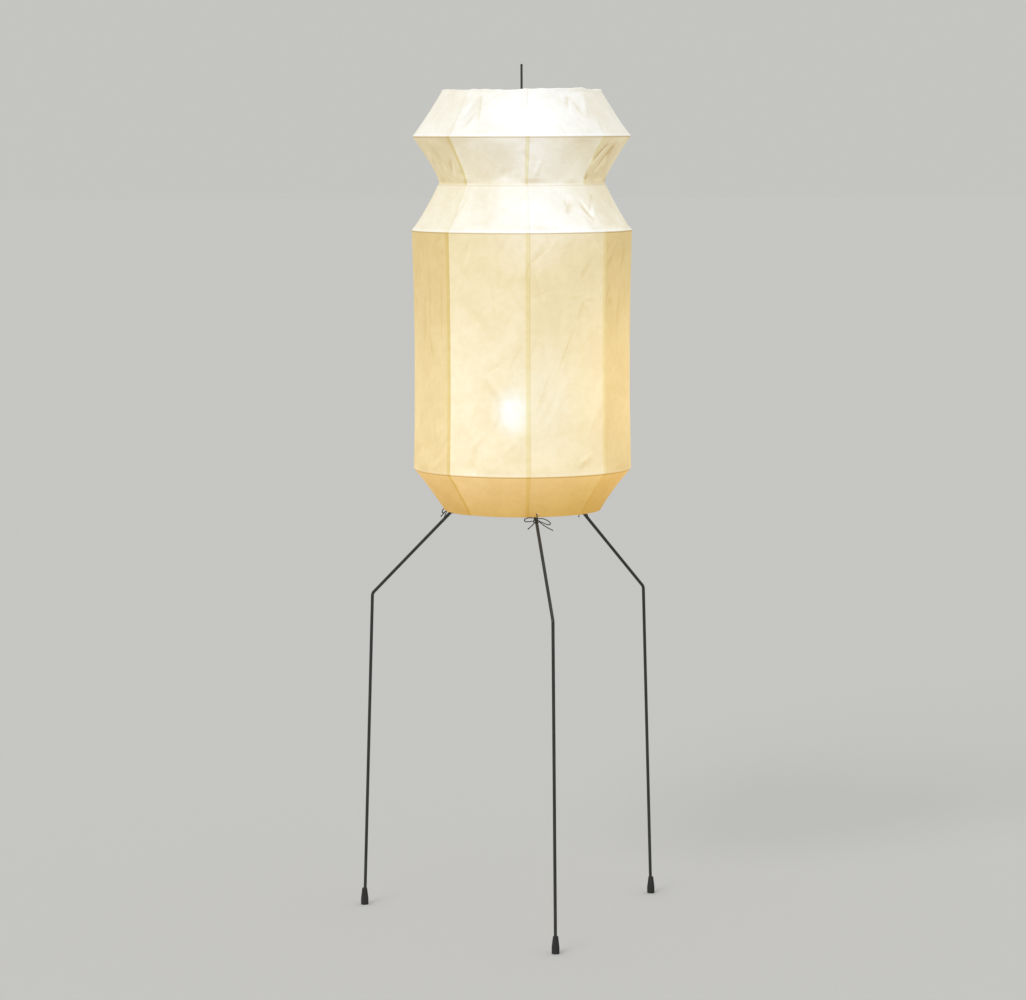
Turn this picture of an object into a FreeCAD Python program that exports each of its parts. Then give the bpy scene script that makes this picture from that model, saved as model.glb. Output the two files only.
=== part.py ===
"""A paper lantern floor lamp: a wire tripod, a rod with two bulbs, and a tall shade of paper on hoops.

Millimetres and degrees. The origin is on the floor under the rod. +Z is up and the front is -Y.
"""

import FreeCAD, Part
import math
import os

import Sketcher

V = FreeCAD.Vector

# ---------------------------------------------------------------------------------------------
# The driving dimensions
# ---------------------------------------------------------------------------------------------

DRIVING_DIMENSIONS = {
    # Gaps between pieces
    "fit_gap": 0.05,  # round a shaft, between pieces that are fastened together
    "slide_gap": 0.1,  # round a leg in its socket
    "clear_gap": 0.3,  # between faces of pieces that move past each other
    # Legs: each is a straight slope from the hub to a knee, and a nearly upright length to the floor
    "front_azimuth": 10.2,  # where the front leg stands, from -Y towards +X
    "leg_slope": 45.0,  # how steeply the upper length falls
    "leg_radius": 3.5,
    "knee_out": 360.0,  # where the two lengths would meet, from the axis
    "knee_drop": 203.0,  # the knee, down from the paper's bottom rim
    "foot_out": 384.0,
    "leg_bend": 14.0,
    # Rubber tips
    "tip_radius": 8.5,
    "tip_neck": 5.6,
    "tip_height": 38.0,
    "tip_flare": 14.0,  # height at which the tip has its full width
    "tip_rounding": 1.5,
    "tip_sole": 6.0,  # rubber under the leg's end
    # Hub
    "socket_out": 50.0,  # the middle of each socket, from the axis
    "socket_length": 30.0,
    "socket_wall": 4.5,
    "socket_depth": 24.0,
    "boss_radius": 11.0,
    "boss_length": 22.0,
    "arm_width": 6.0,
    "arm_height": 10.0,
    # Screws
    "screw_radius": 2.0,
    "grub_length": 6.0,
    "key_width": 2.0,  # across the flats of the hexagon in a grub screw
    "key_depth": 2.5,
    "knob_radius": 5.5,
    "knob_length": 7.0,
    "knob_flute": 0.9,
    "knob_chamfer": 0.6,
    "knob_stand": 1.5,  # between the socket and the knob
    # Rod and the collar that the shade rests on
    "rod_radius": 2.5,
    "rod_stand": 59.0,  # how far the rod goes on over the paper's top rim
    "rod_chamfer": 0.6,
    "collar_radius": 8.0,
    "collar_length": 10.0,
    # Shade: the outer radius of each fold and rim in the paper, the heights of the two rims, and
    # the heights of the bands between
    "top_radius": 174.5,
    "top_height": 1836.0,
    "top_band": 97.5,
    "upper_radius": 239.0,
    "neck_band": 104.0,
    "waist_radius": 182.0,
    "shoulder_band": 101.0,
    "shoulder_radius": 241.5,
    "lower_radius": 239.5,
    "bottom_band": 92.5,
    "bottom_radius": 172.5,
    "bottom_height": 917.0,
    "band_draw": 3.0,  # how far a sloping band of paper is drawn in between two hoops
    "wall_draw": 4.0,  # the same for the tall upright band
    "paper_wall": 0.4,
    "glue_gap": 0.1,
    "seam_azimuth": 2.0,  # where the first seam is, from -Y towards +X
    "lap_angle": 2.2,  # how far a strip goes on over the next one
    "hoop_wire": 1.5,  # radius of the wire
    # Spider in the top hoop
    "spider_wire": 1.5,
    "spider_azimuth": 47.0,
    "eye_radius": 7.0,
    "eye_length": 8.0,
    "eye_gap": 0.3,
    # Brackets
    "holder_out": 36.0,  # from the rod to the holder's axis
    "lower_azimuth": -50.0,
    "lower_seat_rise": 18.0,  # the face that the lower holder stands on, over the hub's middle
    "upper_azimuth": 70.0,
    "upper_seat_drop": 62.5,  # the face that the upper holder stands on, under the shoulder hoop
    "plate_thickness": 3.0,
    "plate_width": 14.0,
    "plate_round": 14.0,  # radius of the plate's round end
    "clamp_radius": 8.0,
    "clamp_below": 4.0,
    "clamp_above": 6.0,
    # Nipple, its nut and the cord grip, down from the holder's seat
    "nipple_radius": 5.0,
    "nipple_bore": 3.8,
    "nipple_below": 16.0,
    "nipple_above": 6.0,
    "nut_flats": 14.0,
    "nut_height": 5.0,
    "grip_radius": 7.5,
    "grip_length": 17.0,
    "grip_bore": 3.6,
    "grip_overlap": 5.0,
    "grip_taper": 5.0,
    "grip_nose": 5.5,
    # Lamp holder
    "cap_radius": 18.5,
    "cap_height": 20.0,
    "cap_wall": 1.8,
    "cap_floor": 3.0,
    "cap_rounding": 4.0,
    "shell_height": 56.0,
    "shell_wall": 2.5,
    "shell_lip": 1.5,
    "spigot_length": 6.0,
    "spigot_wall": 1.6,
    "core_height": 8.0,
    "core_bore": 1.6,
    "core_bore_out": 10.5,
    "brass_wall": 0.4,
    "brass_top": 52.0,
    "brass_hole": 8.0,
    "contact_radius": 4.5,
    "contact_height": 2.6,
    # Bulb
    "screw_cap_radius": 13.2,
    "screw_cap_height": 23.0,
    "screw_cap_wall": 0.4,
    "screw_cap_slack": 0.5,  # round the cap in the holder's brass
    "thread_pitch": 3.6,
    "thread_depth": 0.9,
    "bulb_length": 105.0,
    "globe_radius": 30.0,
    "globe_shoulder": 25.0,  # angle below the globe's middle at which its neck starts
    "neck_radius": 11.5,
    "neck_overlap": 9.0,
    "glass_wall": 0.8,
    "insulator_height": 6.0,
    "insulator_rim": 1.5,
    "tip_contact_radius": 4.7,
    "tip_contact_face": 3.3,
    "tip_contact_height": 1.3,
    "stem_radius": 3.0,
    "stem_flare": 12.0,
    "stem_height": 36.0,
    "filament_span": 20.0,
    "filament_rise": 14.0,
    "filament_lead": 0.45,
    "filament_coil": 1.1,
    # Ties
    "cord_radius": 1.25,
    "knot_radius": 3.4,
    "tie_hole": 2.2,  # radius of the hole in the paper that the cord goes through
    "tie_hole_rise": 3.6,  # its middle above the middle of the bottom hoop's wire
}

QUARTER_TURN = 90.0
THIRD_OF_TURN = 120.0
HALF_TURN = 180.0
FULL_TURN = 360.0
COLLAR_SCREW_AZIMUTH = 0.0
GORE_COUNT = 8
LEG_NAMES = ("front", "right", "left")
LAMP_NAMES = ("lower", "upper")
HEXAGON_SIDE_COUNT = 6
KNOB_FLUTE_COUNT = 12
THREAD_TURN_COUNT = 5
NEAR = 0.001
PAST = 1.0  # how far a cut goes on past the faces that it opens


class Size:
    """A length or an angle, as its number and as the formula that works it out in the sheet."""

    def __init__(self, number, formula):
        self.number = number
        self.formula = formula

    def __add__(self, other):
        other = as_size(other)
        return Size(self.number + other.number, f"({self.formula} + {other.formula})")

    def __sub__(self, other):
        other = as_size(other)
        return Size(self.number - other.number, f"({self.formula} - {other.formula})")

    def __mul__(self, other):
        other = as_size(other)
        return Size(self.number * other.number, f"({self.formula} * {other.formula})")

    def __truediv__(self, other):
        other = as_size(other)
        return Size(self.number / other.number, f"({self.formula} / {other.formula})")

    def __neg__(self):
        return as_size(0) - self


def as_size(value):
    return value if isinstance(value, Size) else Size(float(value), f"({float(value)})")


def sine(angle):
    return Size(math.sin(math.radians(angle.number)), f"sin({angle.formula})")


def cosine(angle):
    return Size(math.cos(math.radians(angle.number)), f"cos({angle.formula})")


def tangent(angle):
    return Size(math.tan(math.radians(angle.number)), f"tan({angle.formula})")


def angle_of_slope(slope):
    return Size(math.degrees(math.atan(slope.number)), f"(atan({slope.formula}) / 1 deg)")


def root(value):
    return Size(math.sqrt(value.number), f"sqrt({value.formula})")


document = FreeCAD.newDocument("paper_lantern_lamp")
sheet = document.addObject("Spreadsheet::Sheet", "Sizes")


class Sizes:
    """Every driving dimension as a Size, under its own name."""


for row, (name, number) in enumerate(DRIVING_DIMENSIONS.items(), start=1):
    sheet.set(f"A{row}", name)
    sheet.set(f"B{row}", str(number))
    sheet.setAlias(f"B{row}", name)
    setattr(Sizes, name, Size(number, f"Sizes.{name}"))
document.recompute()
s = Sizes

# ---------------------------------------------------------------------------------------------
# Helpers that draw and place
# ---------------------------------------------------------------------------------------------

nodes = []


def keep(piece, name):
    """Names a finished piece, which is then written to a file of that name."""
    piece.Label = name
    nodes.append(piece)
    return piece


def keep_together(name, pieces):
    """Names pieces that are alike and share one node, each a solid of its own."""
    group = document.addObject("Part::Compound", name + "_group")
    group.Links = pieces
    keep(group, name)


def bind(thing, prop, size):
    thing.setExpression(prop, as_size(size).formula)


def place(thing, x=0.0, y=0.0, z=0.0, turn=0.0, lean=0.0):
    """Leans a piece from +Z towards +X, turns it about Z and moves it."""
    x, y, z, turn, lean = [as_size(value).formula for value in (x, y, z, turn, lean)]
    thing.setExpression("Placement", f"placement(vector({x}; {y}; {z}); rotation({turn}; {lean}; 0))")


def turn_of(azimuth):
    """The turn about Z that brings local +X to an azimuth."""
    return as_size(azimuth) - QUARTER_TURN


def outwards(azimuth, distance):
    """The x and y of a point at a distance from the axis."""
    turn = turn_of(azimuth)
    return distance * cosine(turn), distance * sine(turn)


def new_body(name):
    return document.addObject("PartDesign::Body", name + "_body")


def origin_feature(body, role):
    return next(feature for feature in body.Origin.OriginFeatures if feature.Role == role)


def new_sketch(body, at=(0.0, 0.0), lean=0.0):
    """A sketch in the body's XZ plane, moved by at and turned anticlockwise by lean."""
    sketch = body.newObject("Sketcher::SketchObject", "Outline")
    sketch.AttachmentSupport = [(origin_feature(body, "XZ_Plane"), "")]
    sketch.MapMode = "FlatFace"
    bind(sketch, "AttachmentOffset.Base.x", at[0])
    bind(sketch, "AttachmentOffset.Base.y", at[1])
    bind(sketch, "AttachmentOffset.Rotation.Angle", lean)
    return sketch


def arc_between(start, end, radius, side):
    """An arc that bulges to the left (side 1) or the right (-1) of its run from start to end.

    It is drawn anticlockwise, which is from end to start where it bulges to the left.
    """
    run = end - start
    bulge = V(-run.y, run.x, 0).normalize() * side
    middle = (start + end) * 0.5 - bulge * math.sqrt(radius**2 - (run.Length / 2) ** 2)
    first, last = (end, start) if side > 0 else (start, end)
    first_angle = math.atan2(first.y - middle.y, first.x - middle.x)
    last_angle = math.atan2(last.y - middle.y, last.x - middle.x)
    if last_angle < first_angle:
        last_angle += 2 * math.pi
    return Part.ArcOfCircle(Part.Circle(middle, V(0, 0, 1), radius), first_angle, last_angle)


def pin_point(sketch, geometry, end, corner):
    """Ties one end of a line or an arc to its place in the sketch."""
    x, y = corner
    x_is_zero = abs(x.number) < NEAR
    y_is_zero = abs(y.number) < NEAR
    if x_is_zero and y_is_zero:
        sketch.addConstraint(Sketcher.Constraint("Coincident", geometry, end, -1, 1))
        return
    if x_is_zero:
        sketch.addConstraint(Sketcher.Constraint("PointOnObject", geometry, end, -2))
    else:
        index = sketch.addConstraint(Sketcher.Constraint("DistanceX", -1, 1, geometry, end, x.number))
        bind(sketch, f"Constraints[{index}]", x)
    if y_is_zero:
        sketch.addConstraint(Sketcher.Constraint("PointOnObject", geometry, end, -1))
    else:
        index = sketch.addConstraint(Sketcher.Constraint("DistanceY", -1, 1, geometry, end, y.number))
        bind(sketch, f"Constraints[{index}]", y)


def draw(sketch, corners, arcs=None, closed=True):
    """A chain of lines through the corners. arcs holds (radius, side) for each run that is an arc."""
    arcs = arcs or {}
    corners = [(as_size(x), as_size(y)) for x, y in corners]
    points = [V(x.number, y.number, 0) for x, y in corners]
    run_count = len(corners) if closed else len(corners) - 1
    ends = []
    for run in range(run_count):
        start = points[run]
        end = points[(run + 1) % len(points)]
        if run in arcs:
            radius, side = arcs[run]
            geometry = sketch.addGeometry(arc_between(start, end, radius.number, side))
            ends.append((geometry, 2, 1) if side > 0 else (geometry, 1, 2))
        else:
            geometry = sketch.addGeometry(Part.LineSegment(start, end))
            ends.append((geometry, 1, 2))
    for run in range(run_count):
        geometry, first, last = ends[run]
        pin_point(sketch, geometry, first, corners[run])
        if run + 1 < run_count or closed:
            following, following_first, _ = ends[(run + 1) % run_count]
            sketch.addConstraint(
                Sketcher.Constraint("Coincident", geometry, last, following, following_first)
            )
        else:
            pin_point(sketch, geometry, last, corners[run + 1])
        if run in arcs:
            radius = arcs[run][0]
            index = sketch.addConstraint(Sketcher.Constraint("Radius", geometry, radius.number))
            bind(sketch, f"Constraints[{index}]", radius)


def revolve(body, corners, arcs=None, at=(0.0, 0.0), lean=0.0, angle=FULL_TURN, cut=False):
    """Turns a section, given as (radius, height) corners, about its own upright axis."""
    sketch = new_sketch(body, at, lean)
    draw(sketch, corners, arcs)
    kind = "PartDesign::Groove" if cut else "PartDesign::Revolution"
    feature = body.newObject(kind, "Cut" if cut else "Turned")
    feature.Profile = sketch
    feature.ReferenceAxis = (sketch, ["V_Axis"])
    bind(feature, "Angle", angle)
    sketch.Visibility = False
    return feature


def pad(body, corners, width):
    """Draws a section in the XZ plane and thickens it to both sides of that plane."""
    sketch = new_sketch(body)
    draw(sketch, corners)
    feature = body.newObject("PartDesign::Pad", "Pad")
    feature.Profile = sketch
    feature.Midplane = True
    bind(feature, "Length", width)
    return feature


def ring_pattern(body, features, count):
    """Repeats features of a body about its own Z axis."""
    document.recompute()
    pattern = body.newObject("PartDesign::PolarPattern", "Pattern")
    pattern.Originals = features
    pattern.Axis = (origin_feature(body, "Z_Axis"), [""])
    pattern.Angle = FULL_TURN
    pattern.Occurrences = count
    body.Tip = pattern
    return pattern


def tube_section(inner, outer, bottom, top):
    return [(inner, bottom), (outer, bottom), (outer, top), (inner, top)]


def turned_piece(name, corners, arcs=None):
    body = new_body(name)
    revolve(body, corners, arcs)
    return keep(body, name)


# ---------------------------------------------------------------------------------------------
# Frame: hub, legs, feet, screws, rod and collar
# ---------------------------------------------------------------------------------------------

KNEE_HEIGHT = s.bottom_height - s.knee_drop
APEX = KNEE_HEIGHT + s.knee_out * tangent(s.leg_slope)  # where the legs' slopes meet the axis
SOCKET_HEIGHT = APEX - s.socket_out * tangent(s.leg_slope)
SOCKET_RADIUS = s.leg_radius + s.slide_gap + s.socket_wall
SOCKET_MOUTH = s.socket_length / 2  # from the socket's middle, down the slope
LEG_TOP = SOCKET_MOUTH - s.socket_depth + s.clear_gap  # the same for the leg's upper end
HALF_BOSS = s.boss_length / 2
THREAD_RADIUS = s.screw_radius + s.fit_gap
SPLAY = angle_of_slope((s.foot_out - s.knee_out) / KNEE_HEIGHT)  # how far the lower length leans
CLAMP_MIDDLE = (s.clamp_above - s.clamp_below) / 2


def leg_azimuth(index):
    return s.front_azimuth + THIRD_OF_TURN * index


def make_hub():
    """A boss on the rod, with three arms that end in sloping sockets for the legs."""
    body = new_body("leg_hub")
    revolve(body, tube_section(0, s.boss_radius, 0, s.boss_length),
            at=(0, SOCKET_HEIGHT - HALF_BOSS))
    half_height = s.arm_height / 2
    arm = pad(body, tube_section(0, s.socket_out, SOCKET_HEIGHT - half_height,
                                 SOCKET_HEIGHT + half_height), s.arm_width)
    socket_at = (s.socket_out, SOCKET_HEIGHT)
    lean = as_size(QUARTER_TURN) - s.leg_slope
    mouth = -SOCKET_MOUTH
    sleeve = revolve(body, tube_section(0, SOCKET_RADIUS, mouth, SOCKET_MOUTH),
                     at=socket_at, lean=lean)
    bore_radius = s.leg_radius + s.slide_gap
    bore_end = mouth + s.socket_depth
    bore = revolve(body, tube_section(0, bore_radius, mouth - PAST, bore_end),
                   at=socket_at, lean=lean, cut=True)
    screw_hole = revolve(body, tube_section(0, THREAD_RADIUS, 0, SOCKET_RADIUS + PAST),
                         at=socket_at, lean=lean - QUARTER_TURN, cut=True)
    ring_pattern(body, [arm, sleeve, bore, screw_hole], len(LEG_NAMES))
    rod_bore = s.rod_radius + s.fit_gap
    revolve(body, tube_section(0, rod_bore, -PAST, s.boss_length + PAST),
            at=(0, SOCKET_HEIGHT - HALF_BOSS), cut=True)
    revolve(body, tube_section(0, THREAD_RADIUS, 0, s.boss_radius + PAST),
            at=(0, SOCKET_HEIGHT), lean=QUARTER_TURN, cut=True)
    place(body, turn=turn_of(leg_azimuth(0)))
    return keep(body, "leg_hub")


def make_leg(index):
    """A round rod with one bend, from the bottom of its socket to the sole of its rubber tip."""
    name = "leg_" + LEG_NAMES[index]
    top = (s.socket_out + LEG_TOP * cosine(s.leg_slope), SOCKET_HEIGHT - LEG_TOP * sine(s.leg_slope))
    to_bend = s.leg_bend * tangent((as_size(QUARTER_TURN) - s.leg_slope - SPLAY) / 2)
    bend_start = (s.knee_out - to_bend * cosine(s.leg_slope), KNEE_HEIGHT + to_bend * sine(s.leg_slope))
    bend_end = (s.knee_out + to_bend * sine(SPLAY), KNEE_HEIGHT - to_bend * cosine(SPLAY))
    low_end = (s.foot_out - s.tip_sole * tangent(SPLAY), s.tip_sole)
    body = new_body(name)
    path = new_sketch(body)
    draw(path, [top, bend_start, bend_end, low_end], arcs={1: (s.leg_bend, 1)}, closed=False)
    section = body.newObject("Sketcher::SketchObject", "Section")
    section.AttachmentSupport = [(path, "Edge1")]
    section.MapMode = "NormalToEdge"
    section.addGeometry(Part.Circle(V(0, 0, 0), V(0, 0, 1), s.leg_radius.number))
    section.addConstraint(Sketcher.Constraint("Coincident", 0, 3, -1, 1))
    radius_index = section.addConstraint(Sketcher.Constraint("Radius", 0, s.leg_radius.number))
    bind(section, f"Constraints[{radius_index}]", s.leg_radius)
    document.recompute()
    pipe = body.newObject("PartDesign::AdditivePipe", "Rod")
    pipe.Profile = section
    pipe.Spine = (path, ["Edge1", "Edge2", "Edge3"])
    place(body, turn=turn_of(leg_azimuth(index)))
    return keep(body, name)


def make_foot(index):
    """A rubber bell with a flat sole, moulded upright, whose hole follows the leaning leg."""
    name = "foot_" + LEG_NAMES[index]
    body = new_body(name)
    foot = s.tip_radius - s.tip_rounding
    revolve(body, [(0, 0), (foot, 0), (s.tip_radius, s.tip_rounding), (s.tip_radius, s.tip_flare),
                   (s.tip_neck, s.tip_height), (0, s.tip_height)])
    hole = s.leg_radius + s.fit_gap
    past_top = s.tip_height + s.tip_neck
    revolve(body, [(0, s.tip_sole), (hole, s.tip_sole), (hole, past_top), (0, past_top)],
            lean=SPLAY, cut=True)
    azimuth = leg_azimuth(index)
    x, y = outwards(azimuth, s.foot_out)
    place(body, x, y, turn=turn_of(azimuth))
    return keep(body, name)


def make_leg_screw(index):
    """A screw with a fluted knob, which presses on the leg through the side of its socket."""
    name = "leg_screw_" + LEG_NAMES[index]
    body = new_body(name)
    tip = s.leg_radius + s.clear_gap
    knob = SOCKET_RADIUS + s.knob_stand
    end = knob + s.knob_length
    edge = s.knob_radius - s.knob_chamfer
    revolve(body, [(0, tip), (s.screw_radius, tip), (s.screw_radius, knob), (edge, knob),
                   (s.knob_radius, knob + s.knob_chamfer), (s.knob_radius, end - s.knob_chamfer),
                   (edge, end), (0, end)])
    flute = revolve(body, tube_section(0, s.knob_flute, knob - PAST, end + PAST),
                    at=(s.knob_radius, 0), cut=True)
    ring_pattern(body, [flute], KNOB_FLUTE_COUNT)
    azimuth = leg_azimuth(index)
    x, y = outwards(azimuth, s.socket_out)
    place(body, x, y, SOCKET_HEIGHT, turn=turn_of(azimuth), lean=s.leg_slope)
    return keep(body, name)


def make_rod():
    """The straight rod, with its ends chamfered."""
    bottom = SOCKET_HEIGHT - HALF_BOSS
    length = s.top_height + s.rod_stand - bottom
    edge = s.rod_radius - s.rod_chamfer
    body = turned_piece("centre_rod", [
        (0, 0), (edge, 0), (s.rod_radius, s.rod_chamfer), (s.rod_radius, length - s.rod_chamfer),
        (edge, length), (0, length)])
    place(body, z=bottom)


def make_collar():
    """The stop ring under the spider's eye."""
    body = new_body("shade_collar")
    bore = s.rod_radius + s.fit_gap
    revolve(body, tube_section(bore, s.collar_radius, 0, s.collar_length))
    revolve(body, tube_section(0, THREAD_RADIUS, s.rod_radius, s.collar_radius + PAST),
            at=(0, s.collar_length / 2), lean=-QUARTER_TURN, cut=True)
    place(body, z=COLLAR_BOTTOM, turn=turn_of(COLLAR_SCREW_AZIMUTH))
    keep(body, "shade_collar")


def make_grub_screws():
    """Four alike: each is a headless screw with a hexagon in its outer end."""
    screws = []
    places = [
        (leg_azimuth(0) + HALF_TURN, SOCKET_HEIGHT),
        (COLLAR_SCREW_AZIMUTH, COLLAR_BOTTOM + s.collar_length / 2),
    ]
    for lamp in LAMP_NAMES:
        azimuth, seat = seat_of(lamp)
        places.append((azimuth + HALF_TURN, seat + CLAMP_MIDDLE))
    for azimuth, height in places:
        blank = document.addObject("Part::Cylinder", "Blank")
        bind(blank, "Radius", s.screw_radius)
        bind(blank, "Height", s.grub_length)
        key = document.addObject("Part::Prism", "Key")
        key.Polygon = HEXAGON_SIDE_COUNT
        bind(key, "Circumradius", s.key_width / root(as_size(3)))
        bind(key, "Height", s.key_depth)
        place(key, z=s.grub_length - s.key_depth)
        screw = document.addObject("Part::Cut", "Grub")
        screw.Base = blank
        screw.Tool = key
        x, y = outwards(azimuth, s.rod_radius + s.fit_gap)
        place(screw, x, y, height, turn=turn_of(azimuth), lean=QUARTER_TURN)
        screws.append(screw)
    keep_together("grub_screws", screws)


# ---------------------------------------------------------------------------------------------
# Two lamp holders on brackets, and their bulbs
# ---------------------------------------------------------------------------------------------

# Heights from the seat, which is the top face of the bracket's plate
NIPPLE_HOLE = s.nipple_radius + s.fit_gap
CAVITY_RADIUS = s.cap_radius - s.shell_wall
CORE_TOP = s.cap_height + s.core_height
BRASS_RADIUS = s.screw_cap_radius + s.screw_cap_slack
CAP_INNER = s.screw_cap_radius - s.thread_depth - s.screw_cap_wall
BULB_FOOT = CORE_TOP + s.contact_height + s.clear_gap
INSULATOR_FOOT = BULB_FOOT + s.tip_contact_height + s.clear_gap
INSULATOR_END = INSULATOR_FOOT + s.insulator_height
SCREW_CAP_FOOT = INSULATOR_END - s.insulator_rim
SCREW_CAP_TOP = SCREW_CAP_FOOT + s.screw_cap_height
NECK_FOOT = SCREW_CAP_TOP - s.neck_overlap
GLOBE_MIDDLE = BULB_FOOT + s.bulb_length - s.globe_radius


def seat_of(lamp):
    """The azimuth and the height of a lamp's holder."""
    if lamp == "lower":
        return s.lower_azimuth, SOCKET_HEIGHT + s.lower_seat_rise
    return s.upper_azimuth, SHOULDER[1] - s.upper_seat_drop


def stand_on_seat(piece, lamp):
    azimuth, seat = seat_of(lamp)
    x, y = outwards(azimuth, s.holder_out)
    place(piece, x, y, seat, turn=turn_of(azimuth))
    return piece


def lamp_piece(lamp, name, corners, arcs=None):
    return stand_on_seat(turned_piece(f"{lamp}_{name}", corners, arcs), lamp)


def make_bracket(lamp):
    """A plate with a clamp round the rod at one end and the nipple's hole at the other."""
    name = lamp + "_bracket"
    body = new_body(name)
    below = -s.plate_thickness
    pad(body, tube_section(0, s.holder_out, below, 0), s.plate_width)
    revolve(body, tube_section(0, s.plate_round, below, 0), at=(s.holder_out, 0))
    revolve(body, tube_section(0, s.clamp_radius, -s.clamp_below, s.clamp_above))
    rod_bore = s.rod_radius + s.fit_gap
    revolve(body, tube_section(0, rod_bore, -s.clamp_below - PAST, s.clamp_above + PAST), cut=True)
    revolve(body, tube_section(0, NIPPLE_HOLE, below - PAST, PAST), at=(s.holder_out, 0), cut=True)
    revolve(body, tube_section(0, THREAD_RADIUS, s.rod_radius, s.clamp_radius + PAST),
            at=(0, CLAMP_MIDDLE), lean=QUARTER_TURN, cut=True)
    azimuth, seat = seat_of(lamp)
    place(body, z=seat, turn=turn_of(azimuth))
    keep(body, name)


def make_nipples_and_nuts():
    """The threaded tube that each holder hangs on, and the nut that draws it to its bracket."""
    nipples = []
    nuts = []
    for lamp in LAMP_NAMES:
        nipple = new_body("nipple")
        revolve(nipple, tube_section(s.nipple_bore, s.nipple_radius, -s.nipple_below, s.nipple_above))
        nipples.append(stand_on_seat(nipple, lamp))
        hexagon = document.addObject("Part::Prism", "Hexagon")
        hexagon.Polygon = HEXAGON_SIDE_COUNT
        bind(hexagon, "Circumradius", s.nut_flats / root(as_size(3)))
        bind(hexagon, "Height", s.nut_height)
        hole = document.addObject("Part::Cylinder", "Hole")
        bind(hole, "Radius", NIPPLE_HOLE)
        bind(hole, "Height", s.nut_height)
        nut = document.addObject("Part::Cut", "Nut")
        nut.Base = hexagon
        nut.Tool = hole
        azimuth, seat = seat_of(lamp)
        x, y = outwards(azimuth, s.holder_out)
        place(nut, x, y, seat - s.plate_thickness - s.nut_height, turn=turn_of(azimuth))
        nuts.append(nut)
    keep_together("holder_nipples", nipples)
    keep_together("nipple_nuts", nuts)


def make_cord_grip(lamp):
    """The inlet screwed on the nipple's lower end, with a tapered nose."""
    nipple_end = -s.nipple_below
    top = nipple_end + s.grip_overlap
    bottom = top - s.grip_length
    lamp_piece(lamp, "cord_grip", [
        (s.grip_bore, bottom), (s.grip_nose, bottom), (s.grip_radius, bottom + s.grip_taper),
        (s.grip_radius, top), (NIPPLE_HOLE, top), (NIPPLE_HOLE, nipple_end), (s.grip_bore, nipple_end)])


def make_holder(lamp):
    """The case in two halves, the ceramic core on the ledge between them, and the brass in it."""
    inner_bend = s.cap_rounding - s.cap_wall
    inner = s.cap_radius - s.cap_wall
    lamp_piece(lamp, "holder_cap", [
        (NIPPLE_HOLE, 0), (s.cap_radius - s.cap_rounding, 0), (s.cap_radius, s.cap_rounding),
        (s.cap_radius, s.cap_height), (inner, s.cap_height), (inner, s.cap_floor + inner_bend),
        (inner - inner_bend, s.cap_floor), (NIPPLE_HOLE, s.cap_floor)],
        arcs={1: (s.cap_rounding, -1), 5: (inner_bend, 1)})
    spigot = inner - s.fit_gap
    ledge = spigot - s.spigot_wall
    lip = CAVITY_RADIUS - s.shell_lip
    lamp_piece(lamp, "holder_shell", [
        (ledge, s.cap_height - s.spigot_length), (spigot, s.cap_height - s.spigot_length),
        (spigot, s.cap_height), (s.cap_radius, s.cap_height),
        (s.cap_radius, s.shell_height - s.shell_lip), (s.cap_radius - s.shell_lip, s.shell_height),
        (lip, s.shell_height), (lip, s.shell_height - s.shell_lip),
        (CAVITY_RADIUS, s.shell_height - s.shell_lip), (CAVITY_RADIUS, s.cap_height),
        (ledge, s.cap_height)])
    core = new_body(lamp + "_holder_core")
    revolve(core, tube_section(0, CAVITY_RADIUS - s.fit_gap, s.cap_height, CORE_TOP))
    lead_hole = revolve(core, tube_section(0, s.core_bore, s.cap_height - PAST, CORE_TOP + PAST),
                        at=(s.core_bore_out, 0), cut=True)
    ring_pattern(core, [lead_hole], 2)
    stand_on_seat(keep(core, lamp + "_holder_core"), lamp)
    brass_outer = BRASS_RADIUS + s.brass_wall
    lamp_piece(lamp, "screw_shell", [
        (s.brass_hole, CORE_TOP), (brass_outer, CORE_TOP), (brass_outer, s.brass_top),
        (BRASS_RADIUS, s.brass_top), (BRASS_RADIUS, CORE_TOP + s.brass_wall),
        (s.brass_hole, CORE_TOP + s.brass_wall)])
    lamp_piece(lamp, "centre_contact", [
        (0, CORE_TOP), (s.contact_radius, CORE_TOP), (s.contact_radius, CORE_TOP + s.brass_wall),
        (s.contact_radius / 2, CORE_TOP + s.contact_height), (0, CORE_TOP + s.contact_height)])


def neck_meets_globe(globe_radius, neck_radius):
    """Where a straight neck, tangent to the globe at its shoulder, reaches the neck's radius."""
    shoulder_out = globe_radius * cosine(s.globe_shoulder)
    shoulder_down = globe_radius * sine(s.globe_shoulder)
    along = (shoulder_out - neck_radius) / sine(s.globe_shoulder)
    shoulder = (shoulder_out, GLOBE_MIDDLE - shoulder_down)
    return shoulder, (neck_radius, GLOBE_MIDDLE - shoulder_down - along * cosine(s.globe_shoulder))


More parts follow.
